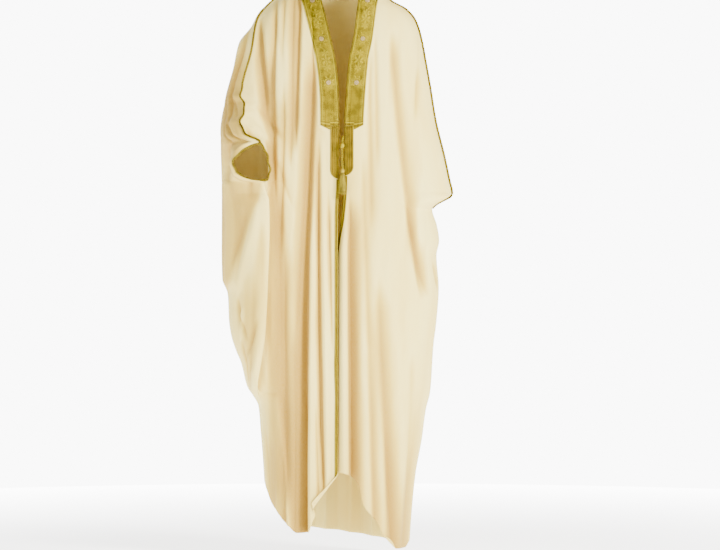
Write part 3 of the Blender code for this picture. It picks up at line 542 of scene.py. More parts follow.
def roundTube(path, radius, sides, closed=False, twist=0.0, strands=0, grooves=0.0):
    # points, faces and uvs of a tube. With strands, its surface is grooved like a twisted cord.
    path = np.asarray(path, float)
    if closed:
        along = unit(np.roll(path, -1, axis=0) - np.roll(path, 1, axis=0))
    else:
        along = unit(np.gradient(path, axis=0))
    side = unit(np.cross(along[0], (0.0, 1.0, 0.3)))
    count = len(path)
    gone = lengthsAlong(path)
    angles = 2 * math.pi * np.arange(sides) / sides
    sideways = np.empty((count, 3))
    for i in range(count):
        side = unit(side - along[i] * side.dot(along[i]))
        sideways[i] = side
    if closed:  # the frame's leftover turn is spread along the loop
        last = unit(sideways[-1] - along[0] * sideways[-1].dot(along[0]))
        left = math.atan2(np.cross(last, sideways[0]).dot(along[0]), last.dot(sideways[0]))
    other = np.cross(along, sideways)
    vertices, uvs = [], []
    for i in range(count):
        turn = left * i / count if closed else 0.0
        cos, sin = np.cos(angles + turn)[:, None], np.sin(angles + turn)[:, None]
        reach = radius
        if strands:
            groove = 0.5 - 0.5 * np.cos(strands * (angles + turn) - twist * gone[i])
            reach = radius * (1 - grooves * groove)[:, None]
        vertices.append(path[i] + reach * (cos * sideways[i] + sin * other[i]))
        uvs.append(np.column_stack([angles / (2 * math.pi) * radius * 6.2, np.full(sides, gone[i])]))
    faces = []
    for i in range(count if closed else count - 1):
        ahead = (i + 1) % count * sides
        for k in range(sides):
            n = (k + 1) % sides
            faces.append((i * sides + k, i * sides + n, ahead + n, ahead + k))
    if not closed:
        faces += [tuple(range(sides))[::-1], tuple(range((count - 1) * sides, count * sides))]
    return np.concatenate(vertices), faces, np.concatenate(uvs)


def smoothPath(points, step, closed=False):  # points a step apart along a smooth line through the given ones
    points = np.asarray(points, float)
    if closed:
        points = np.concatenate([points[-3:], points, points[:4]])
    gone = lengthsAlong(points)
    table = np.column_stack([gone, points])
    first, last = (gone[3], gone[-4]) if closed else (0.0, gone[-1])
    count = max(8, int(round((last - first) / step)))
    at = np.linspace(first, last, count + 1)
    return track(table, at[:-1] if closed else at)


def addNode(tree, kind, inputs=None, **settings):
    node = tree.nodes.new(kind)
    for key, value in settings.items():
        setattr(node, key, value)
    for key, value in (inputs or {}).items():
        node.inputs[key].default_value = value
    return node


def startMaterial(name):
    made = bpy.data.materials.new(name)
    made.use_nodes = True
    return made, made.node_tree, made.node_tree.nodes["Principled BSDF"]


def mixColours(tree, factor, first, second):
    mix = addNode(tree, "ShaderNodeMix", data_type="RGBA")
    for value, socket in ((first, mix.inputs[6]), (second, mix.inputs[7])):
        if isinstance(value, tuple):
            socket.default_value = (*value, 1.0)
        else:
            tree.links.new(value, socket)
    if isinstance(factor, float):
        mix.inputs[0].default_value = factor
    else:
        tree.links.new(factor, mix.inputs[0])
    return mix.outputs[2]


def rangeOf(tree, value, low, high, newLow=0.0, newHigh=1.0):
    ends = {"From Min": low, "From Max": high, "To Min": newLow, "To Max": newHigh}
    node = addNode(tree, "ShaderNodeMapRange", ends)
    tree.links.new(value, node.inputs["Value"])
    return node.outputs["Result"]


def combine(tree, operation, first, second):
    node = addNode(tree, "ShaderNodeMath", operation=operation)
    for value, socket in ((first, node.inputs[0]), (second, node.inputs[1])):
        if isinstance(value, (int, float)):
            socket.default_value = value
        else:
            tree.links.new(value, socket)
    return node.outputs[0]


def mappedCoords(tree, uv, scale):
    if uv:
        source = addNode(tree, "ShaderNodeUVMap", uv_map="weave").outputs["UV"]
    else:
        source = addNode(tree, "ShaderNodeTexCoord").outputs["Object"]
    mapping = addNode(tree, "ShaderNodeMapping", {"Scale": scale})
    tree.links.new(source, mapping.inputs["Vector"])
    return mapping.outputs["Vector"]


def noiseOn(tree, coords, scale, detail=3.0):
    noise = addNode(tree, "ShaderNodeTexNoise", {"Scale": scale, "Detail": detail})
    tree.links.new(coords, noise.inputs["Vector"])
    return noise.outputs["Fac"]


def wavesOn(tree, coords, direction, pitch, distortion=0.0):
    inputs = {"Scale": 2 * math.pi / (20 * pitch), "Distortion": distortion, "Detail": 1.0, "Detail Scale": 0.4}
    wave = addNode(tree, "ShaderNodeTexWave", inputs, bands_direction=direction)
    tree.links.new(coords, wave.inputs["Vector"])
    return wave.outputs["Fac"]


def bumpFrom(tree, height, distance, strength, before=None):
    bump = addNode(tree, "ShaderNodeBump", {"Distance": distance, "Strength": strength})
    tree.links.new(height, bump.inputs["Height"])
    if before is not None:
        tree.links.new(before, bump.inputs["Normal"])
    return bump.outputs["Normal"]


creamCrepe = {
    "light": (0.790, 0.662, 0.205),
    "warm": (0.735, 0.560, 0.125),
    # amberShade and troughShade are painted shade colours, mixed in as the painted shade deepens
    "amberShade": (0.600, 0.415, 0.060),
    "troughShade": (0.330, 0.182, 0.008),
    "fleck": (0.60, 0.50, 0.32),
    "roughness": 0.72,
    "threadPitch": 0.0009,
    "threadHeight": 0.00010,
    "crumpleHeight": 0.0009,
    "sheen": 0.10,
    "sheenRoughness": 0.45,
    "sheenTint": (1.0, 0.88, 0.60, 1.0),
    "specular": 0.25,
}


def crepeMaterial():
    s = creamCrepe
    made, tree, shader = startMaterial("creamCrepe")
    broad = rangeOf(tree, noiseOn(tree, mappedCoords(tree, False, (9, 9, 2.2)), 1.0, 4.0), 0.35, 0.68)
    base = mixColours(tree, broad, s["light"], s["warm"])
    # Painted shade: the deeper a fold and the more shaded its side, the more amber and then brown the cloth
    troughShade = addNode(tree, "ShaderNodeAttribute", attribute_name="troughShade").outputs["Fac"]
    colour = mixColours(tree, rangeOf(tree, troughShade, 0.0, 0.5), base, s["amberShade"])
    colour = mixColours(tree, rangeOf(tree, troughShade, 0.5, 1.0), colour, s["troughShade"])
    flecks = noiseOn(tree, mappedCoords(tree, True, (900, 140, 1)), 1.0, 2.0)
    colour = mixColours(tree, rangeOf(tree, flecks, 0.3, 0.75, 0.0, 0.10), colour, s["fleck"])
    tree.links.new(colour, shader.inputs["Base Color"])
    coords = mappedCoords(tree, True, (1, 1, 1))
    weft = wavesOn(tree, coords, "Y", s["threadPitch"], 1.5)
    warp = wavesOn(tree, coords, "X", s["threadPitch"], 1.5)
    threads = combine(tree, "MAXIMUM", weft, combine(tree, "MULTIPLY", warp, 0.9))
    crumple = noiseOn(tree, mappedCoords(tree, True, (190, 42, 1)), 1.0, 4.0)
    bump = bumpFrom(tree, crumple, s["crumpleHeight"], 0.35)
    bump = bumpFrom(tree, threads, s["threadHeight"], 0.5, bump)
    tree.links.new(bump, shader.inputs["Normal"])
    rough = rangeOf(tree, crumple, 0.2, 0.8, s["roughness"] - 0.06, s["roughness"] + 0.08)
    tree.links.new(rough, shader.inputs["Roughness"])
    for socket, key in (("Sheen Weight", "sheen"), ("Sheen Roughness", "sheenRoughness"),
                        ("Sheen Tint", "sheenTint"), ("Specular IOR Level", "specular")):
        shader.inputs[socket].default_value = s[key]
    return made


goldThread = {
    "ground": (0.112, 0.066, 0.000),
    "typical": (0.250, 0.190, 0.000),
    # bright is bright thread and partly a painted highlight on raised stitches and crests; dark is dark thread
    # and partly painted shade in hollows
    "bright": (0.430, 0.345, 0.012),
    "silver": (0.340, 0.245, 0.110),
    "dark": (0.050, 0.024, 0.000),
    "patchDeeper": 0.52,
    "stitchHeight": 0.0004,
    "metallic": 0.90,
}


def goldMaterial(name, tone, pitch=0.0011):  # tone 0 is the ground gold, 1 the typical
    s = goldThread
    made, tree, shader = startMaterial(name)
    mark = {key: addNode(tree, "ShaderNodeAttribute", attribute_name=key).outputs["Fac"]
            for key in ("bright", "silver", "dark")}
    patches = rangeOf(tree, noiseOn(tree, mappedCoords(tree, False, (1, 1, 1)), 60.0, 5.0), 0.38, 0.62)
    plain = tuple(a + (b - a) * tone for a, b in zip(s["ground"], s["typical"]))
    deeper = tuple(s["patchDeeper"] * value for value in plain)
    colour = mixColours(tree, patches, deeper, plain)
    colour = mixColours(tree, mark["bright"], colour, s["bright"])
    colour = mixColours(tree, mark["silver"], colour, s["silver"])
    colour = mixColours(tree, mark["dark"], colour, s["dark"])
    coords = mappedCoords(tree, True, (1, 1, 1))
    satin = wavesOn(tree, coords, "DIAGONAL", pitch, 2.0)
    rows = wavesOn(tree, coords, "Y", pitch * 0.8, 1.0)
    stitches = combine(tree, "MAXIMUM", satin, combine(tree, "MULTIPLY", rows, 0.8))
    # Painted shade in the hollows between the stitches, from the same waves that make the stitch bump.
    colour = mixColours(tree, rangeOf(tree, stitches, 0.0, 0.5, 0.35, 0.0), colour, s["dark"])
    tree.links.new(colour, shader.inputs["Base Color"])
    tree.links.new(bumpFrom(tree, stitches, s["stitchHeight"], 0.7), shader.inputs["Normal"])
    tree.links.new(rangeOf(tree, patches, 0.0, 1.0, 0.34, 0.50), shader.inputs["Roughness"])
    shader.inputs["Metallic"].default_value = s["metallic"]
    return made


crepe = crepeMaterial()
goldWide = goldMaterial("goldEmbroidery", 0.85)
goldLower = goldMaterial("goldBraid", 0.12)
goldEdge = goldMaterial("goldEdging", 0.45, 0.0009)
goldCord = goldMaterial("goldTwist", 0.30, 0.0007)
goldPale = goldMaterial("paleGoldThread", 1.0, 0.0006)
print("materials made")


studio = {
    "sensor": 36.0,
    "eye": (0.050, -8.5, -0.792),
    "plane": -0.07,            # the depth at which the view is exactly as wide as given
    "width": 1.908,
    "floor": -1.545,
    "floorRadius": 3.0,
    "floorGlow": 2.6,
    "world": 0.80,
    "backdrop": 12.0,          # how bright the white behind the object is
}


def makeStudio():
    camera = bpy.data.cameras.new("camera")
    camera.sensor_width = studio["sensor"]
    camera.lens = studio["sensor"] * (studio["plane"] - studio["eye"][1]) / studio["width"]
    camera.clip_end = 60.0
    holder = bpy.data.objects.new("camera", camera)
    holder.location = studio["eye"]
    holder.rotation_euler = (math.pi / 2, 0.0, 0.0)
    bpy.context.scene.collection.objects.link(holder)
    bpy.context.scene.camera = holder

    bpy.ops.object.select_all(action="DESELECT")
    bpy.ops.mesh.primitive_circle_add(vertices=96, radius=studio["floorRadius"], fill_type="NGON",
                                      location=(0.0, 0.0, studio["floor"]))
    floor = bpy.context.object
    floor.name = "floor"
    paint, tree, shader = startMaterial("paleFloor")
    shader.inputs["Roughness"].default_value = 0.9
    shader.inputs["Specular IOR Level"].default_value = 0.0
    shader.inputs["Emission Color"].default_value = (1.0, 1.0, 1.0, 1.0)
    away = addNode(tree, "ShaderNodeVectorMath", operation="LENGTH")
    tree.links.new(mappedCoords(tree, False, (1, 1, 1)), away.inputs[0])
    # 0 below the object and 1 near the rim, where the floor is as bright as the backdrop
    out = rangeOf(tree, away.outputs["Value"], 0.7, studio["floorRadius"] - 0.1)
    colour = mixColours(tree, out, (0.86, 0.86, 0.85), (0.0, 0.0, 0.0))
    tree.links.new(colour, shader.inputs["Base Color"])
    glow = rangeOf(tree, combine(tree, "POWER", out, 1.4), 0.0, 1.0, studio["floorGlow"], studio["backdrop"])
    tree.links.new(glow, shader.inputs["Emission Strength"])
    floor.data.materials.append(paint)

    world = bpy.data.worlds.new("studio")
    world.use_nodes = True
    tree = world.node_tree
    soft, white = tree.nodes["Background"], addNode(tree, "ShaderNodeBackground")
    soft.inputs["Color"].default_value = (1.0, 0.99, 0.97, 1.0)
    soft.inputs["Strength"].default_value = studio["world"]
    white.inputs["Strength"].default_value = studio["backdrop"]
    either = addNode(tree, "ShaderNodeMixShader")
    for out, into in ((addNode(tree, "ShaderNodeLightPath").outputs["Is Camera Ray"], either.inputs[0]),
                      (soft.outputs[0], either.inputs[1]), (white.outputs[0], either.inputs[2]),
                      (either.outputs[0], tree.nodes["World Output"].inputs["Surface"])):
        tree.links.new(out, into)
    bpy.context.scene.world = world

    lights = (  # name, place, aim, size, power, colour
        ("key", (3.3, -3.2, 1.3), (0.0, -0.1, -0.7), 1.5, 760.0, (1.0, 0.98, 0.93)),
        ("fill", (-2.2, -4.4, 0.0), (0.0, 0.0, -0.8), 3.0, 190.0, (1.0, 0.98, 0.96)),
        ("back", (-0.6, 3.8, 1.4), (0.0, 0.0, -0.7), 2.5, 260.0, (1.0, 0.98, 0.95)),
    )
    for name, place, aim, size, power, colour in lights:
        lamp = bpy.data.lights.new(name, "AREA")
        lamp.shape = "DISK"
        lamp.size = size
        lamp.energy = power
        lamp.color = colour
        stand = bpy.data.objects.new(name, lamp)
        stand.location = place
        x, y, z = np.array(aim) - np.array(place)
        stand.rotation_euler = (math.atan2(math.hypot(x, y), -z), 0.0, math.atan2(y, x) - math.pi / 2)
        bpy.context.scene.collection.objects.link(stand)


makeStudio()
print("studio ready")


cordSettings = {
    "radius": 0.0026,
    "route": (
        (0.0055, -0.1500, -0.4290), (0.0050, -0.1545, -0.4340), (0.0044, -0.1580, -0.4400),
        (0.0040, -0.1590, -0.4470), (0.0038, -0.1592, -0.4580), (0.0036, -0.1592, -0.4700),
        (0.0034, -0.1590, -0.4850), (0.0038, -0.1592, -0.5000), (0.0042, -0.1596, -0.5140),
    ),
    "step": 0.0006,
    "sides": 20,
    "twist": 2 * math.pi * 2 / 0.011,
    "strandFullness": 1.15,     # two grooved strands look as thick as a plain cord this much thinner
    "knotAt": 0.4530,           # its rings and the head's: how far down, and their radius
    "knotRings": ((-0.0036, 0.0034), (-0.0012, 0.0042), (0.0012, 0.0043), (0.0036, 0.0035)),
    "knotThread": 0.0016,
    "headRings": ((0.0012, 0.0030), (0.0026, 0.0042), (0.0040, 0.0047), (0.0054, 0.0049),
                  (0.0068, 0.0047), (0.0082, 0.0040), (0.0096, 0.0034), (0.0106, 0.0033)),
    "headThread": 0.00095,
    "headCore": (0.0004, 0.0030, 0.0060, 0.0090, 0.0112),
    "headCoreRadius": 0.0036,
    "skirtTop": 0.0114,
    "skirtLength": 0.0560,
    "skirtThreads": 74,
    "skirtThread": 0.00082,
}


def ringTube(centre, ringRadius, tubeRadius, tilt, steps=28, sides=10):
    turn = 2 * math.pi * np.arange(steps) / steps
    loop = np.column_stack([ringRadius * np.cos(turn), ringRadius * np.sin(turn), tilt * np.cos(turn)])
    return roundTube(centre + loop, tubeRadius, sides, closed=True)


def threadPiece(name, node, tubes, bright, silver, dark=0.0):
    points, faces, uvs = joinTubes(tubes)
    marks = goldMarks(np.broadcast_to(bright, len(points)), silver, dark)
    return newPiece(name, points, faces, goldPale, marks, uvs, node)


def makeSkirt(top):
    s = cordSettings
    rng = np.random.RandomState(7)
    tubes, tone = [], []
    for k in range(s["skirtThreads"]):
        angle = 2.399963 * k  # the golden angle spreads the threads evenly
        spread = math.sqrt((k + 0.5) / s["skirtThreads"])
        reach = s["skirtLength"] + rng.uniform(-0.0035, 0.0012)
        sway = rng.uniform(-0.0006, 0.0006, 2)
        down = np.linspace(0, 1, 9)
        radius = spread * np.interp(down, (0, 0.14, 0.5, 1), (0.0038, 0.0058, 0.0078, 0.0094))
        line = np.column_stack([
            top[0] + radius * math.cos(angle) + sway[0] * np.sin(down * 3.0),
            top[1] + radius * math.sin(angle) + sway[1] * np.sin(down * 2.6),
            top[2] + 0.001 - reach * down,
        ])
        tubes.append(roundTube(line, s["skirtThread"], 5))
        tone.append(np.full(len(tubes[-1][0]), rng.uniform(0.15, 1.0)))
    tone = np.concatenate(tone)
    tip = smooth((top[2] - 0.043 - joinTubes(tubes)[0][:, 2]) / 0.014)
    dark = 0.45 * tip * (1.2 - tone)
    return threadPiece("tasselSkirt", "tassel_skirt", tubes, tone * (1 - tip), 0.12, dark)


def makeTassel():
    s = cordSettings
    path = smoothPath(s["route"], s["step"])
    thick = s["radius"] * s["strandFullness"]
    points, faces, uvs = roundTube(path, thick, s["sides"], twist=s["twist"], strands=2, grooves=0.55)
    marks = twistMarks(path, s["sides"], s["twist"], 0.75, 0.85, 1.5)
    cord = newPiece("tasselCord", points, faces, goldPale, marks, uvs, "tassel_cord")

    middle = np.array([np.interp(s["knotAt"], -path[:, 2], path[:, k]) for k in (0, 1)] + [-s["knotAt"]])
    rings = [ringTube(middle - (0, 0, down), radius, s["knotThread"], 0.0007)
             for down, radius in s["knotRings"]]
    knot = threadPiece("tasselKnot", "tassel_knot", rings, 0.85, 0.0)

    end = np.array(s["route"][-1])
    rings = [ringTube(end - (0, 0, down), radius, s["headThread"], 0.0002)
             for down, radius in s["headRings"]]
    core = smoothPath([end - (0, 0, down) for down in s["headCore"]], 0.001)
    rings.append(roundTube(core, s["headCoreRadius"], 16))
    head = threadPiece("tasselHead", "tassel_head", rings, 1.0, 0.25)
    skirt = makeSkirt(end - (0, 0, s["skirtTop"]))


makeTassel()
print("tassel made")

rippleCells = ((0.02, 0.034, 0.33), (-0.03, 0.015, 0.13), (0.0, 0.007, 0.030))  # slant, cell across and down
ripples = {  # heights of the long, middle and fine ripples
    "right": (0.0024, 0.0012, 0.0003),
    "left": (0.0014, 0.0006, 0.0002),
    "back": (0.0030, 0.0011, 0.0002),
}
turnedCorners = {  # a point on the turn, x and drop, the way across it, sideways and down, radius, lowest drop
    "right": ((-0.036, 1.345, 0.80, 0.60, 0.0050, 1.440),),
    "left": ((0.124, 1.485, -0.75, 0.66, 0.0045, 1.600),),
}
rightForm = panelForm(rightFrontPlan, 241, foldsRight, hemRight, 1, 1, ripples["right"], 11,
                      turned=turnedCorners["right"])
leftForm = panelForm(leftFrontPlan, 241, foldsLeft, hemLeft, -1, 1, ripples["left"], 23,
                     turned=turnedCorners["left"])
backForm = panelForm(backPlan, 381, foldsBack, hemBack, 1, 2, ripples["back"], 37, foldsLobe)
shareSeamNormals(rightForm, backForm, 0)
shareSeamNormals(leftForm, backForm, -1)
print("cloth forms worked out")


def makePanel(name, node, form, columns, shadeSide):
    heights = [0.0]
    for first, last, count in (*cloth["rows"], (cloth["hemFree"], cloth["length"], cloth["lowerRows"])):
        heights += list(np.linspace(first, last, count + 1)[1:])
    parts = np.repeat(np.linspace(0, 1, columns + 1)[None], len(heights), axis=0)
    drops = np.array([rowDrops(form, row, height) for row, height in zip(parts, heights)])
    points, normals, depth, reach = onForm(form, parts, drops, ("points", "normals", "depth", "reach"))
    # painted shade from the fold depth, joined with the side's painted shade
    troughShade = 1 - np.exp(-np.maximum(depth - cloth["troughFrom"], 0) / cloth["troughDeep"])
    troughShade = 1 - (1 - troughShade) * (1 - shadeSide(drops, points))
    half = cloth["wall"] / 2
    uvs = np.stack([reach, drops], axis=-1)
    piece = wallPiece(name, points, normals, -half, half, crepe, {"troughShade": troughShade}, uvs, node,
                      cloth["insideShade"])


def rightShade(drops, points):  # the cloth lies deep beside the drape of the arm
    x = points[..., 0]
    beside = ridge(x, -0.172, 0.024) * smooth((drops - 0.50) / 0.10) * smooth((1.30 - drops) / 0.3)
    corner = 0.75 * ridge(x, -0.030, 0.022) * ridge(drops, 1.378, 0.022)
    shade = 0.62 * beside + 0.26 * smooth((drops - 1.0) / 0.35) * smooth((-x - 0.03) / 0.08)
    return np.maximum(shade, corner)


def leftShade(drops, points):
    beside = ridge(points[..., 0], 0.030, 0.020) * smooth((drops - 0.40) / 0.20)
    return 0.30 * beside + 0.16 * smooth((drops - 1.05) / 0.35)


def backShade(drops, points):  # the drape's turned away side, left of a slanting line
    x, front = points[..., 0], smooth((0.07 - points[..., 1]) / 0.05)
    line = -0.193 - 0.36 * (drops - 0.56)
    lower = smooth((line - x) / 0.022) * smooth((drops - 0.50) / 0.08) * smooth((1.02 - drops) / 0.12)
    upper = smooth((-x - 0.225) / 0.05) * smooth((drops - 0.16) / 0.1) * smooth((0.56 - drops) / 0.1)
    return front * (0.58 * lower + 0.66 * upper)


makePanel("frontRight", "front_right", rightForm, cloth["frontColumns"], rightShade)
makePanel("frontLeft", "front_left", leftForm, cloth["frontColumns"], leftShade)
makePanel("backPanel", "back", backForm, cloth["backColumns"], backShade)
print("panels made")


bandSettings = {
    "width": 0.050,
    "lift": 0.0012,             # from the middle of the cloth to the underside of a trim
    "wall": 0.0012,
    "shoulderLift": 0.0030,
    "fanDrop": 0.090,
    "end": 0.400,
    "slant": 0.013,
    "columns": 54,
    "rows": 430,
    "neckRows": 250,
    "rosettes": (0.068, 0.170, 0.2865),     # drops of the rosettes on a front edge
    "rosetteRadius": 0.0075,
    "plainFrom": 0.302,
    "lowerWidth": 0.024,
    "lowerEnd": {"right": 0.540, "left": 0.531},
    "lowerColumns": 40,
    "edgeWidth": 0.008,
    "edgeRows": 420,
    "edgeColumns": 10,
    "gap": 0.0006,              # between the end of one trim and the start of the next
    "shoulderPart": 0.985,      # the part of a front row at which its band meets the shoulder seam
    "neckParts": (0.004, 0.996),
}
motifs = {
    "outerCord": 0.0016,        # distances from a side of the band
    "groove": 0.0036,
    "innerCord": 0.0056,
    "chain": 0.0090,
    "field": 0.0108,
    "frame": 0.0140,
    "chainPitch": 0.0062,
    "latticePitch": 0.0078,
    "leaves": (8, (0.0145, 0.0165), 0.0075, 0.0036),      # round a rosette: how many, reach, length, width
    "petals": (6, (0.0072, 0.0072), 0.0105, 0.0046),      # of a flower
    "flowers": ((0.34, 0.85), (0.5, 1.15), (0.66, 0.85)),  # part of the way to the next rosette, size
    "stem": 0.0105,             # how far a wavy stem swings from the middle
}


def furthest(isShort, high, rounds=40):  # the largest value up to high that is still short
    low = 0.0
    for _ in range(rounds):
        middle = (low + high) / 2
        low, high = (middle, high) if isShort(middle) else (low, middle)
    return low


def reachAlong(form, start, drop, distance):
    return furthest(lambda part: np.linalg.norm(onForm(form, part, drop)[0] - start) < distance, 1.0)


def reachDown(form, part, distance):
    start = onForm(form, part, 0.0)[0]
    return furthest(lambda drop: np.linalg.norm(onForm(form, part, drop)[0] - start) < distance, 0.2)


def moreLines(form, starts, ends, count):  # the same fan of cross lines, this many evenly along the edge
    starts, ends = np.array(starts), np.array(ends)
    line = onForm(form, starts[:, 0], starts[:, 1])[0]
    outer = onForm(form, ends[:, 0], ends[:, 1])[0]
    gone = lengthsAlong((line + outer) / 2)
    even = np.linspace(0, gone[-1], count + 1)
    pairs = [np.column_stack([np.interp(even, gone, table[:, k]) for k in (0, 1)]) for table in (starts, ends)]
    return pairs[0], pairs[1], even


def acrossLines(form, starts, ends, columns):
    share = np.linspace(0, 1, columns + 1)
    spots = starts[:, None] * (1 - share[None, :, None]) + ends[:, None] * share[None, :, None]
    return onForm(form, spots[..., 0], spots[..., 1]) + [spots]


def leaf(across, along, centreU, centreV, angle, length, width):  # 1 inside a pointed leaf, fading at its edge
    u, v = across - centreU, along - centreV
    lengthways = u * math.cos(angle) + v * math.sin(angle)
    sideways = -u * math.sin(angle) + v * math.cos(angle)
    reach = np.clip(1 - (2 * lengthways / length) ** 2, 0, 1)
    return smooth((reach * width / 2 - np.abs(sideways)) / 0.0007 + 0.5) * (reach > 0)


def leafRing(across, along, centre, count, reach, length, width):  # leaves that point away from a centre
    found = np.zeros_like(across)
    for k in range(count):
        turn = 2 * math.pi * (k + 0.5) / count
        u, v = centre[0] + reach[0] * math.cos(turn), centre[1] + reach[1] * math.sin(turn)
        found = np.maximum(found, leaf(across, along, u, v, turn, length, width))
    return found


def scrolls(across, along, rosettes):  # leaves, flowers and stems between the rosettes
    m, middle = motifs, bandSettings["width"] / 2
    found = np.zeros_like(across)
    for first, second in zip(rosettes[:-1], rosettes[1:]):
        span = second - first
        count, reach, length, width = m["petals"]
        for share, size in m["flowers"]:
            centre = first + span * share
            petals = leafRing(across, along, (middle, centre), count, (size * reach[0], size * reach[1]),
                              size * length, size * width)
            heart = 0.9 * ridge(np.hypot(across - middle, along - centre), 0.0, 0.0016)
            found = np.maximum(np.maximum(found, petals), heart)
        swing = middle + m["stem"] * np.sin(2 * math.pi * (along - first) / (span / 2))
        inside = smooth((along - first - 0.014) / 0.006) * smooth((second - 0.014 - along) / 0.006)
        found = np.maximum(found, 0.8 * ridge(across, swing, 0.0010) * inside)
    return found


def embroidery(across, along, drop, rosettes, plainFrom, endAt):
    # relief in metres and the thread's marks. Across, along and drop are in metres too.
    m, width, radius = motifs, bandSettings["width"], bandSettings["rosetteRadius"]
    inFrom = np.minimum(across, width - across)
    # Bright marks follow the raised cords, chain and flowers, as bright thread and partly as painted highlight;
    # dark marks fill the groove between the cords and the lattice's hollows as painted shade, and run along the
    # band's inner side.
    relief = 0.0005 * ridge(inFrom, m["outerCord"], 0.0012) + 0.0004 * ridge(inFrom, m["innerCord"], 0.0008)
    bright = 0.65 * (ridge(across, width - m["outerCord"], 0.0011) + ridge(inFrom, m["innerCord"], 0.0009))
    dark = 0.75 * ridge(inFrom, m["groove"], 0.0008) + 0.6 * ridge(across, 0.0, 0.0018)
    chain = np.cos(2 * math.pi * along / m["chainPitch"]) * ridge(inFrom, m["chain"], 0.0013)
    relief += 0.0002 * chain
    bright += 0.35 * np.maximum(chain, 0)
    field = smooth((inFrom - m["field"]) / 0.001)
    wave = 2 * math.pi / m["latticePitch"]
    lattice = np.cos(wave * (across + along)) * np.cos(wave * (across - along))
    relief += 0.00012 * lattice * field
    dark += 0.22 * np.maximum(-lattice, 0) * field
    silver = np.zeros_like(across)
    fancy = smooth((plainFrom - drop) / 0.006) * field if plainFrom else field
    flowers = scrolls(across, along, rosettes)
    for place in rosettes:
        u, v = across - width / 2, along - place
        away, angle = np.hypot(u, v), np.arctan2(v, u)
        petal = smooth((radius * (0.86 + 0.14 * np.cos(8 * angle)) - away) / 0.0010)
        silver = np.maximum(silver, petal * (1 - 0.55 * ridge(away, 0.0022, 0.0007)))
        relief += 0.0009 * petal * (0.72 + 0.28 * np.cos(8 * angle)) * smooth(away / 0.002 + 0.2)
        flowers = np.maximum(flowers, ridge(away, radius + 0.0030, 0.0009))
        flowers = np.maximum(flowers, leafRing(across, along, (width / 2, place), *m["leaves"]))
    flowers = flowers * fancy
    relief += 0.0006 * flowers
    bright += 0.60 * flowers * (0.7 + 0.3 * np.cos(2 * math.pi * (across + along) / 0.0016))
    if endAt is not None:  # a bright line and a dark one across the lower end, and a frame over it
        fromEnd = endAt - drop
        relief += 0.0005 * (ridge(fromEnd, 0.0085, 0.0011) + ridge(fromEnd, 0.0010, 0.0011))
        bright += 0.85 * ridge(fromEnd, 0.0085, 0.0011)
        dark += 0.5 * ridge(fromEnd, 0.0045, 0.0018) + 0.5 * ridge(fromEnd, 0.0115, 0.0010)
        plain = smooth((drop - plainFrom) / 0.006)
        frameLine = ridge(inFrom, m["frame"], 0.0008)
        relief += 0.0003 * frameLine * plain
        dark += 0.30 * frameLine * plain + 0.16 * plain
    return relief, goldMarks(*(np.clip(value, 0, 1) for value in (bright, silver, dark)))


def sewOn(name, node, material, points, normals, low, relief, marks, uvs):
    high = low + bandSettings["wall"] + relief
    piece = wallPiece(name, points, normals, low, high, material, marks, uvs, node)


def embroideredBand(name, node, points, normals, along, rosettes, plainFrom, endAt, low):
    s = bandSettings
    across = np.broadcast_to(np.linspace(0, 1, s["columns"] + 1) * s["width"], points.shape[:2])
    alongs = np.broadcast_to(along[:, None], points.shape[:2])
    relief, marks = embroidery(across, alongs, -points[..., 2], rosettes, plainFrom, endAt)
    uvs = np.stack([across, alongs], axis=-1)
    sewOn(name, node, goldWide, points, normals, low, relief, marks, uvs)


def makeWideBand(name, node, form):
    s = bandSettings
    neck = [(part, s["gap"]) for part in np.linspace(s["shoulderPart"], 0, 13)]
    neck += [(0.0, drop) for drop in np.arange(0.004, 2 * s["fanDrop"], 0.002)]
    neckLine = onForm(form, *np.array(neck).T)[0]
    outer = [(0, s["shoulderPart"], reachDown(form, 1.0, s["width"]))]

    def gapsFrom(part, drop):
        return np.linalg.norm(neckLine - onForm(form, part, drop)[0], axis=1)

    for drop in np.linspace(outer[0][2], s["fanDrop"], 10)[1:]:
        low = furthest(lambda part: gapsFrom(part, drop).min() < s["width"], s["shoulderPart"], 30)
        outer.append((max(int(np.argmin(gapsFrom(low, drop))), outer[-1][0] + 1), low, drop))
    outer = np.array(outer)
    nearest = np.linspace(0, outer[-1, 0], 16).round().astype(int)
    starts = [neck[k] for k in nearest]
    ends = [tuple(np.interp(k, outer[:, 0], outer[:, m]) for m in (1, 2)) for k in nearest]
    last = starts[-1][1]
    for share in np.linspace(0, 1, 40)[1:]:
        edge = last + (s["end"] - last) * share
        drop = s["fanDrop"] + (s["end"] - s["fanDrop"]) * share
        starts.append((0.0, edge))
        ends.append((reachAlong(form, onForm(form, 0.0, edge)[0], drop, s["width"]), drop))
    starts, ends, along = moreLines(form, starts, ends, s["rows"])
    _, _, spots = acrossLines(form, starts, ends, s["columns"])
    share = np.linspace(0, 1, s["columns"] + 1)[None]
    low = smooth((spots[..., 1] - (s["end"] - 0.030)) / 0.030)
    outside = np.clip((share - s["lowerWidth"] / s["width"]) / 0.01, 0, 1)
    spots[..., 1] += low * outside * (s["slant"] * (1 - share) / (1 - s["lowerWidth"] / s["width"]) - 0.002)
    points, normals = onForm(form, spots[..., 0], spots[..., 1])
    drops = -points[..., 2]
    rosettes = [float(np.interp(drop, drops[:, s["columns"] // 2], along)) for drop in s["rosettes"]]
    rosettes = [rosettes[0] + rosettes[-2] - rosettes[-1]] + rosettes  # one more, over the shoulder
    endAt = s["end"] + low * outside * s["slant"] * (1 - share)
    proud = s["lift"] + s["shoulderLift"] * np.clip(1 - drops / (1.5 * s["fanDrop"]), 0, 1)
    embroideredBand(name, node, points, normals, along, rosettes, s["plainFrom"], endAt, proud)


makeWideBand("wideBandRight", "band_right", rightForm)
makeWideBand("wideBandLeft", "band_left", leftForm)


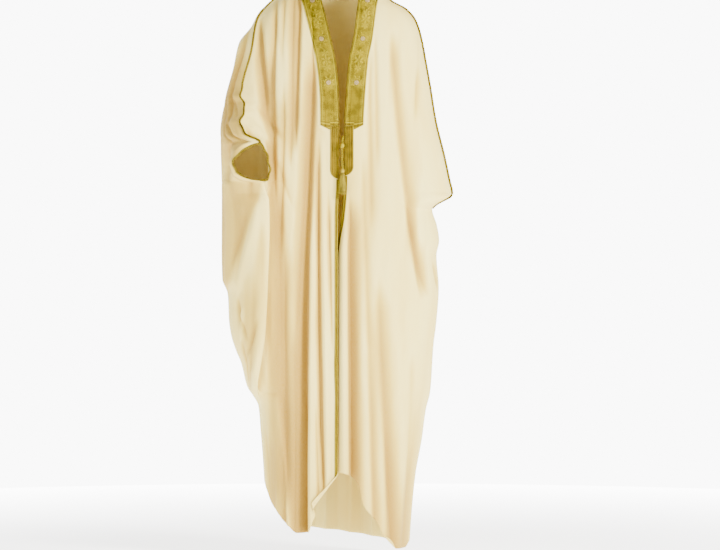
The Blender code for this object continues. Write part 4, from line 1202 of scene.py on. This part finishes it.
def makeNeckBand():
    s = bandSettings
    parts = np.linspace(*s["neckParts"], 41)
    starts = [(part, 0.0004) for part in parts]
    ends = [(part, reachDown(backForm, part, s["width"])) for part in parts]
    starts, ends, along = moreLines(backForm, starts, ends, s["neckRows"])
    points, normals, _ = acrossLines(backForm, starts, ends, s["columns"])
    rosettes = [along[-1] * share for share in (0.02, 0.34, 0.66, 0.98)]
    embroideredBand("neckBand", "neck_band", points, normals, along, rosettes, None, None,
                    s["lift"] + s["shoulderLift"])


makeNeckBand()


def makeLowerBand(name, node, form, side):
    s = bandSettings
    last = s["lowerEnd"][side]
    width = s["lowerWidth"]
    first = s["end"] + s["gap"]
    arc = width * np.sin(np.linspace(0, math.pi / 2, 22)[1:])
    drops = np.concatenate([np.linspace(first, last - width, 60), last - width + arc])
    starts, ends = [], []
    for drop in drops:
        into = max(0.0, (drop - last + width) / width)
        reach = max(0.15 * width, width * math.sqrt(max(0.0, 1 - into * into)))
        starts.append((0.0, drop))
        ends.append((reachAlong(form, onForm(form, 0.0, drop)[0], drop, reach), drop))
    points, normals, _ = acrossLines(form, np.array(starts), np.array(ends), s["lowerColumns"])
    reach = np.linalg.norm(points - points[:, :1], axis=-1)
    edge = reach[:, -1:] - reach
    low = np.broadcast_to(drops[:, None], reach.shape)
    ribs = sum(ridge(reach, place, 0.0010) for place in (0.0018, 0.0062, 0.0106, 0.0150))
    border = ridge(edge, 0.0018, 0.0012)
    stitch = 0.5 + 0.5 * np.cos(2 * math.pi * (low / 0.0042 + reach / 0.009))
    relief = 0.00035 * ribs * (0.75 + 0.25 * stitch) + 0.0005 * border
    # Bright marks follow the raised ribs, their stitches and the border, partly as painted highlight; dark
    # marks lie in the hollow inside the border as painted shade, and along the inner side.
    bright = np.clip(0.30 * ribs * stitch + 0.35 * border, 0, 1)
    dark = np.clip(0.55 * ridge(edge, 0.0042, 0.0011) + 0.40 * ridge(reach, 0.0004, 0.0014), 0, 1)
    uvs = np.stack([reach, low], axis=-1)
    sewOn(name, node, goldLower, points, normals, s["lift"], relief, goldMarks(bright, 0.0, dark),
          uvs)


makeLowerBand("lowerBandRight", "lower_band_right", rightForm, "right")
makeLowerBand("lowerBandLeft", "lower_band_left", leftForm, "left")


def makeEdgeTrim(name, node, form, side):
    s = bandSettings
    heights = np.linspace(s["lowerEnd"][side] + s["gap"], cloth["length"] - 0.002, s["edgeRows"])
    columns = s["edgeColumns"]
    rows, drops = [], []
    for height in heights:
        sample, = onForm(form, np.linspace(0, 1, 60), height, ("reach",))
        part = s["edgeWidth"] / sample[-1]
        rows.append(np.linspace(0, part, columns + 1))
        drops.append(rowDrops(form, rows[-1], height))
    rows, drops = np.array(rows), np.array(drops)
    points, normals = onForm(form, rows, drops)
    share = np.broadcast_to(np.linspace(0, 1, columns + 1)[None], drops.shape)
    stitch = 0.5 + 0.5 * np.cos(2 * math.pi * (drops / 0.0050 + share * 0.9))
    cords = ridge(share, 0.22, 0.16) + ridge(share, 0.80, 0.14)
    relief = 0.0006 * cords * (0.7 + 0.3 * stitch)
    # Bright marks follow the stitches of the two raised cords, partly as painted highlight, and dark fills the
    # hollow between the cords as painted shade.
    bright = np.clip(0.55 * cords * stitch, 0, 1)
    dark = np.clip(0.9 * ridge(share, 0.52, 0.12), 0, 1)
    uvs = np.stack([share * s["edgeWidth"], drops], axis=-1)
    sewOn(name, node, goldEdge, points, normals, s["lift"], relief, goldMarks(bright, 0.0, dark),
          uvs)


makeEdgeTrim("edgeTrimRight", "edge_trim_right", rightForm, "right")
makeEdgeTrim("edgeTrimLeft", "edge_trim_left", leftForm, "left")
print("bands made")


pipingSettings = {
    "radius": {"seam_piping_right": 0.0032, "seam_piping_left": 0.0034},
    "lift": -0.0016,
    "outwards": {"seam_piping_right": (0.0, 0.0, 0.0), "seam_piping_left": (0.0008, -0.0012, 0.0)},
    "tail": 0.0036,
    "below": 0.006,             # from the side of the neck band to the start of the piping
    "cuffRadius": 0.0030,
    "cuffClear": 0.0006,
    "cuffInside": (0.985, 0.006),  # parts of the front's and the back's row just inside a rim
    "cuffForward": {"cuff_trim_left": (0.0005, -0.0045, -0.0015), "cuff_trim_right": (0.0, -0.0015, 0.0)},
    "step": 0.0016,
    "sides": 12,
    "twist": 2 * math.pi * 2 / 0.009,
}


def twistedPiece(name, node, path, radius, closed=False):
    s = pipingSettings
    twist = s["twist"]
    if closed:  # whole turns round the loop
        around = lengthsAlong(np.concatenate([path, path[:1]]))[-1]
        twist = 2 * math.pi * round(twist * around / (2 * math.pi)) / around
    points, faces, uvs = roundTube(path, radius, s["sides"], closed, twist, 2, 0.30)
    marks = twistMarks(path, s["sides"], twist, 0.45, 0.8, 1.6)
    newPiece(name, points, faces, goldCord, marks, uvs, node)


def makePiping(name, node, form, cuff):
    s = pipingSettings
    start = reachDown(form, 1.0, bandSettings["width"]) + s["below"]
    drops = np.linspace(start, cuff["top"], 60)
    points, normals = onForm(form, 1.0, drops)
    radius = s["radius"][node]
    line = points + normals * (cloth["wall"] / 2 + radius + s["lift"]) + s["outwards"][node]
    line = np.concatenate([line, line[-1:] - [0, 0, s["tail"]]])  # runs into the cuff binding
    twistedPiece(name, node, smoothPath(line, s["step"]), radius)


def makeCuffBinding(name, node, front, back, cuff, backEnd):
    s = pipingSettings
    turns = np.linspace(0, math.pi, 25)
    heights = cuff["top"] + (cuff["bottom"] - cuff["top"]) * (1 - np.cos(turns)) / 2
    beyond = s["cuffRadius"] + s["cuffClear"]
    frontInside, backInside = s["cuffInside"]
    rims = []
    for form, end, inside in ((front, 1.0, frontInside), (back, backEnd, abs(backEnd - backInside))):
        rim, inner = onForm(form, end, heights)[0], onForm(form, inside, heights)[0]
        along = unit(np.gradient(rim, axis=0))
        off = rim - inner
        off -= along * np.einsum("ij,ij->i", off, along)[:, None]
        rims.append(rim + unit(off) * beyond)
    top, bottom = ((rims[0][k] + rims[1][k]) / 2 for k in (0, -1))
    top[2] -= beyond
    bottom[2] += beyond
    rims[0] = rims[0] + np.array(s["cuffForward"][node]) * np.sin(turns)[:, None] ** 0.5
    path = [top, *rims[0][2:-2], bottom, *rims[1][-3:1:-1]]
    twistedPiece(name, node, smoothPath(path, s["step"], closed=True), s["cuffRadius"], closed=True)


makePiping("pipingRight", "seam_piping_right", rightForm, rightCuff)
makePiping("pipingLeft", "seam_piping_left", leftForm, leftCuff)
makeCuffBinding("cuffBindingRight", "cuff_trim_right", rightForm, backForm, rightCuff, 0.0)
makeCuffBinding("cuffBindingLeft", "cuff_trim_left", leftForm, backForm, leftCuff, 1.0)
print("piping and cuff bindings made")
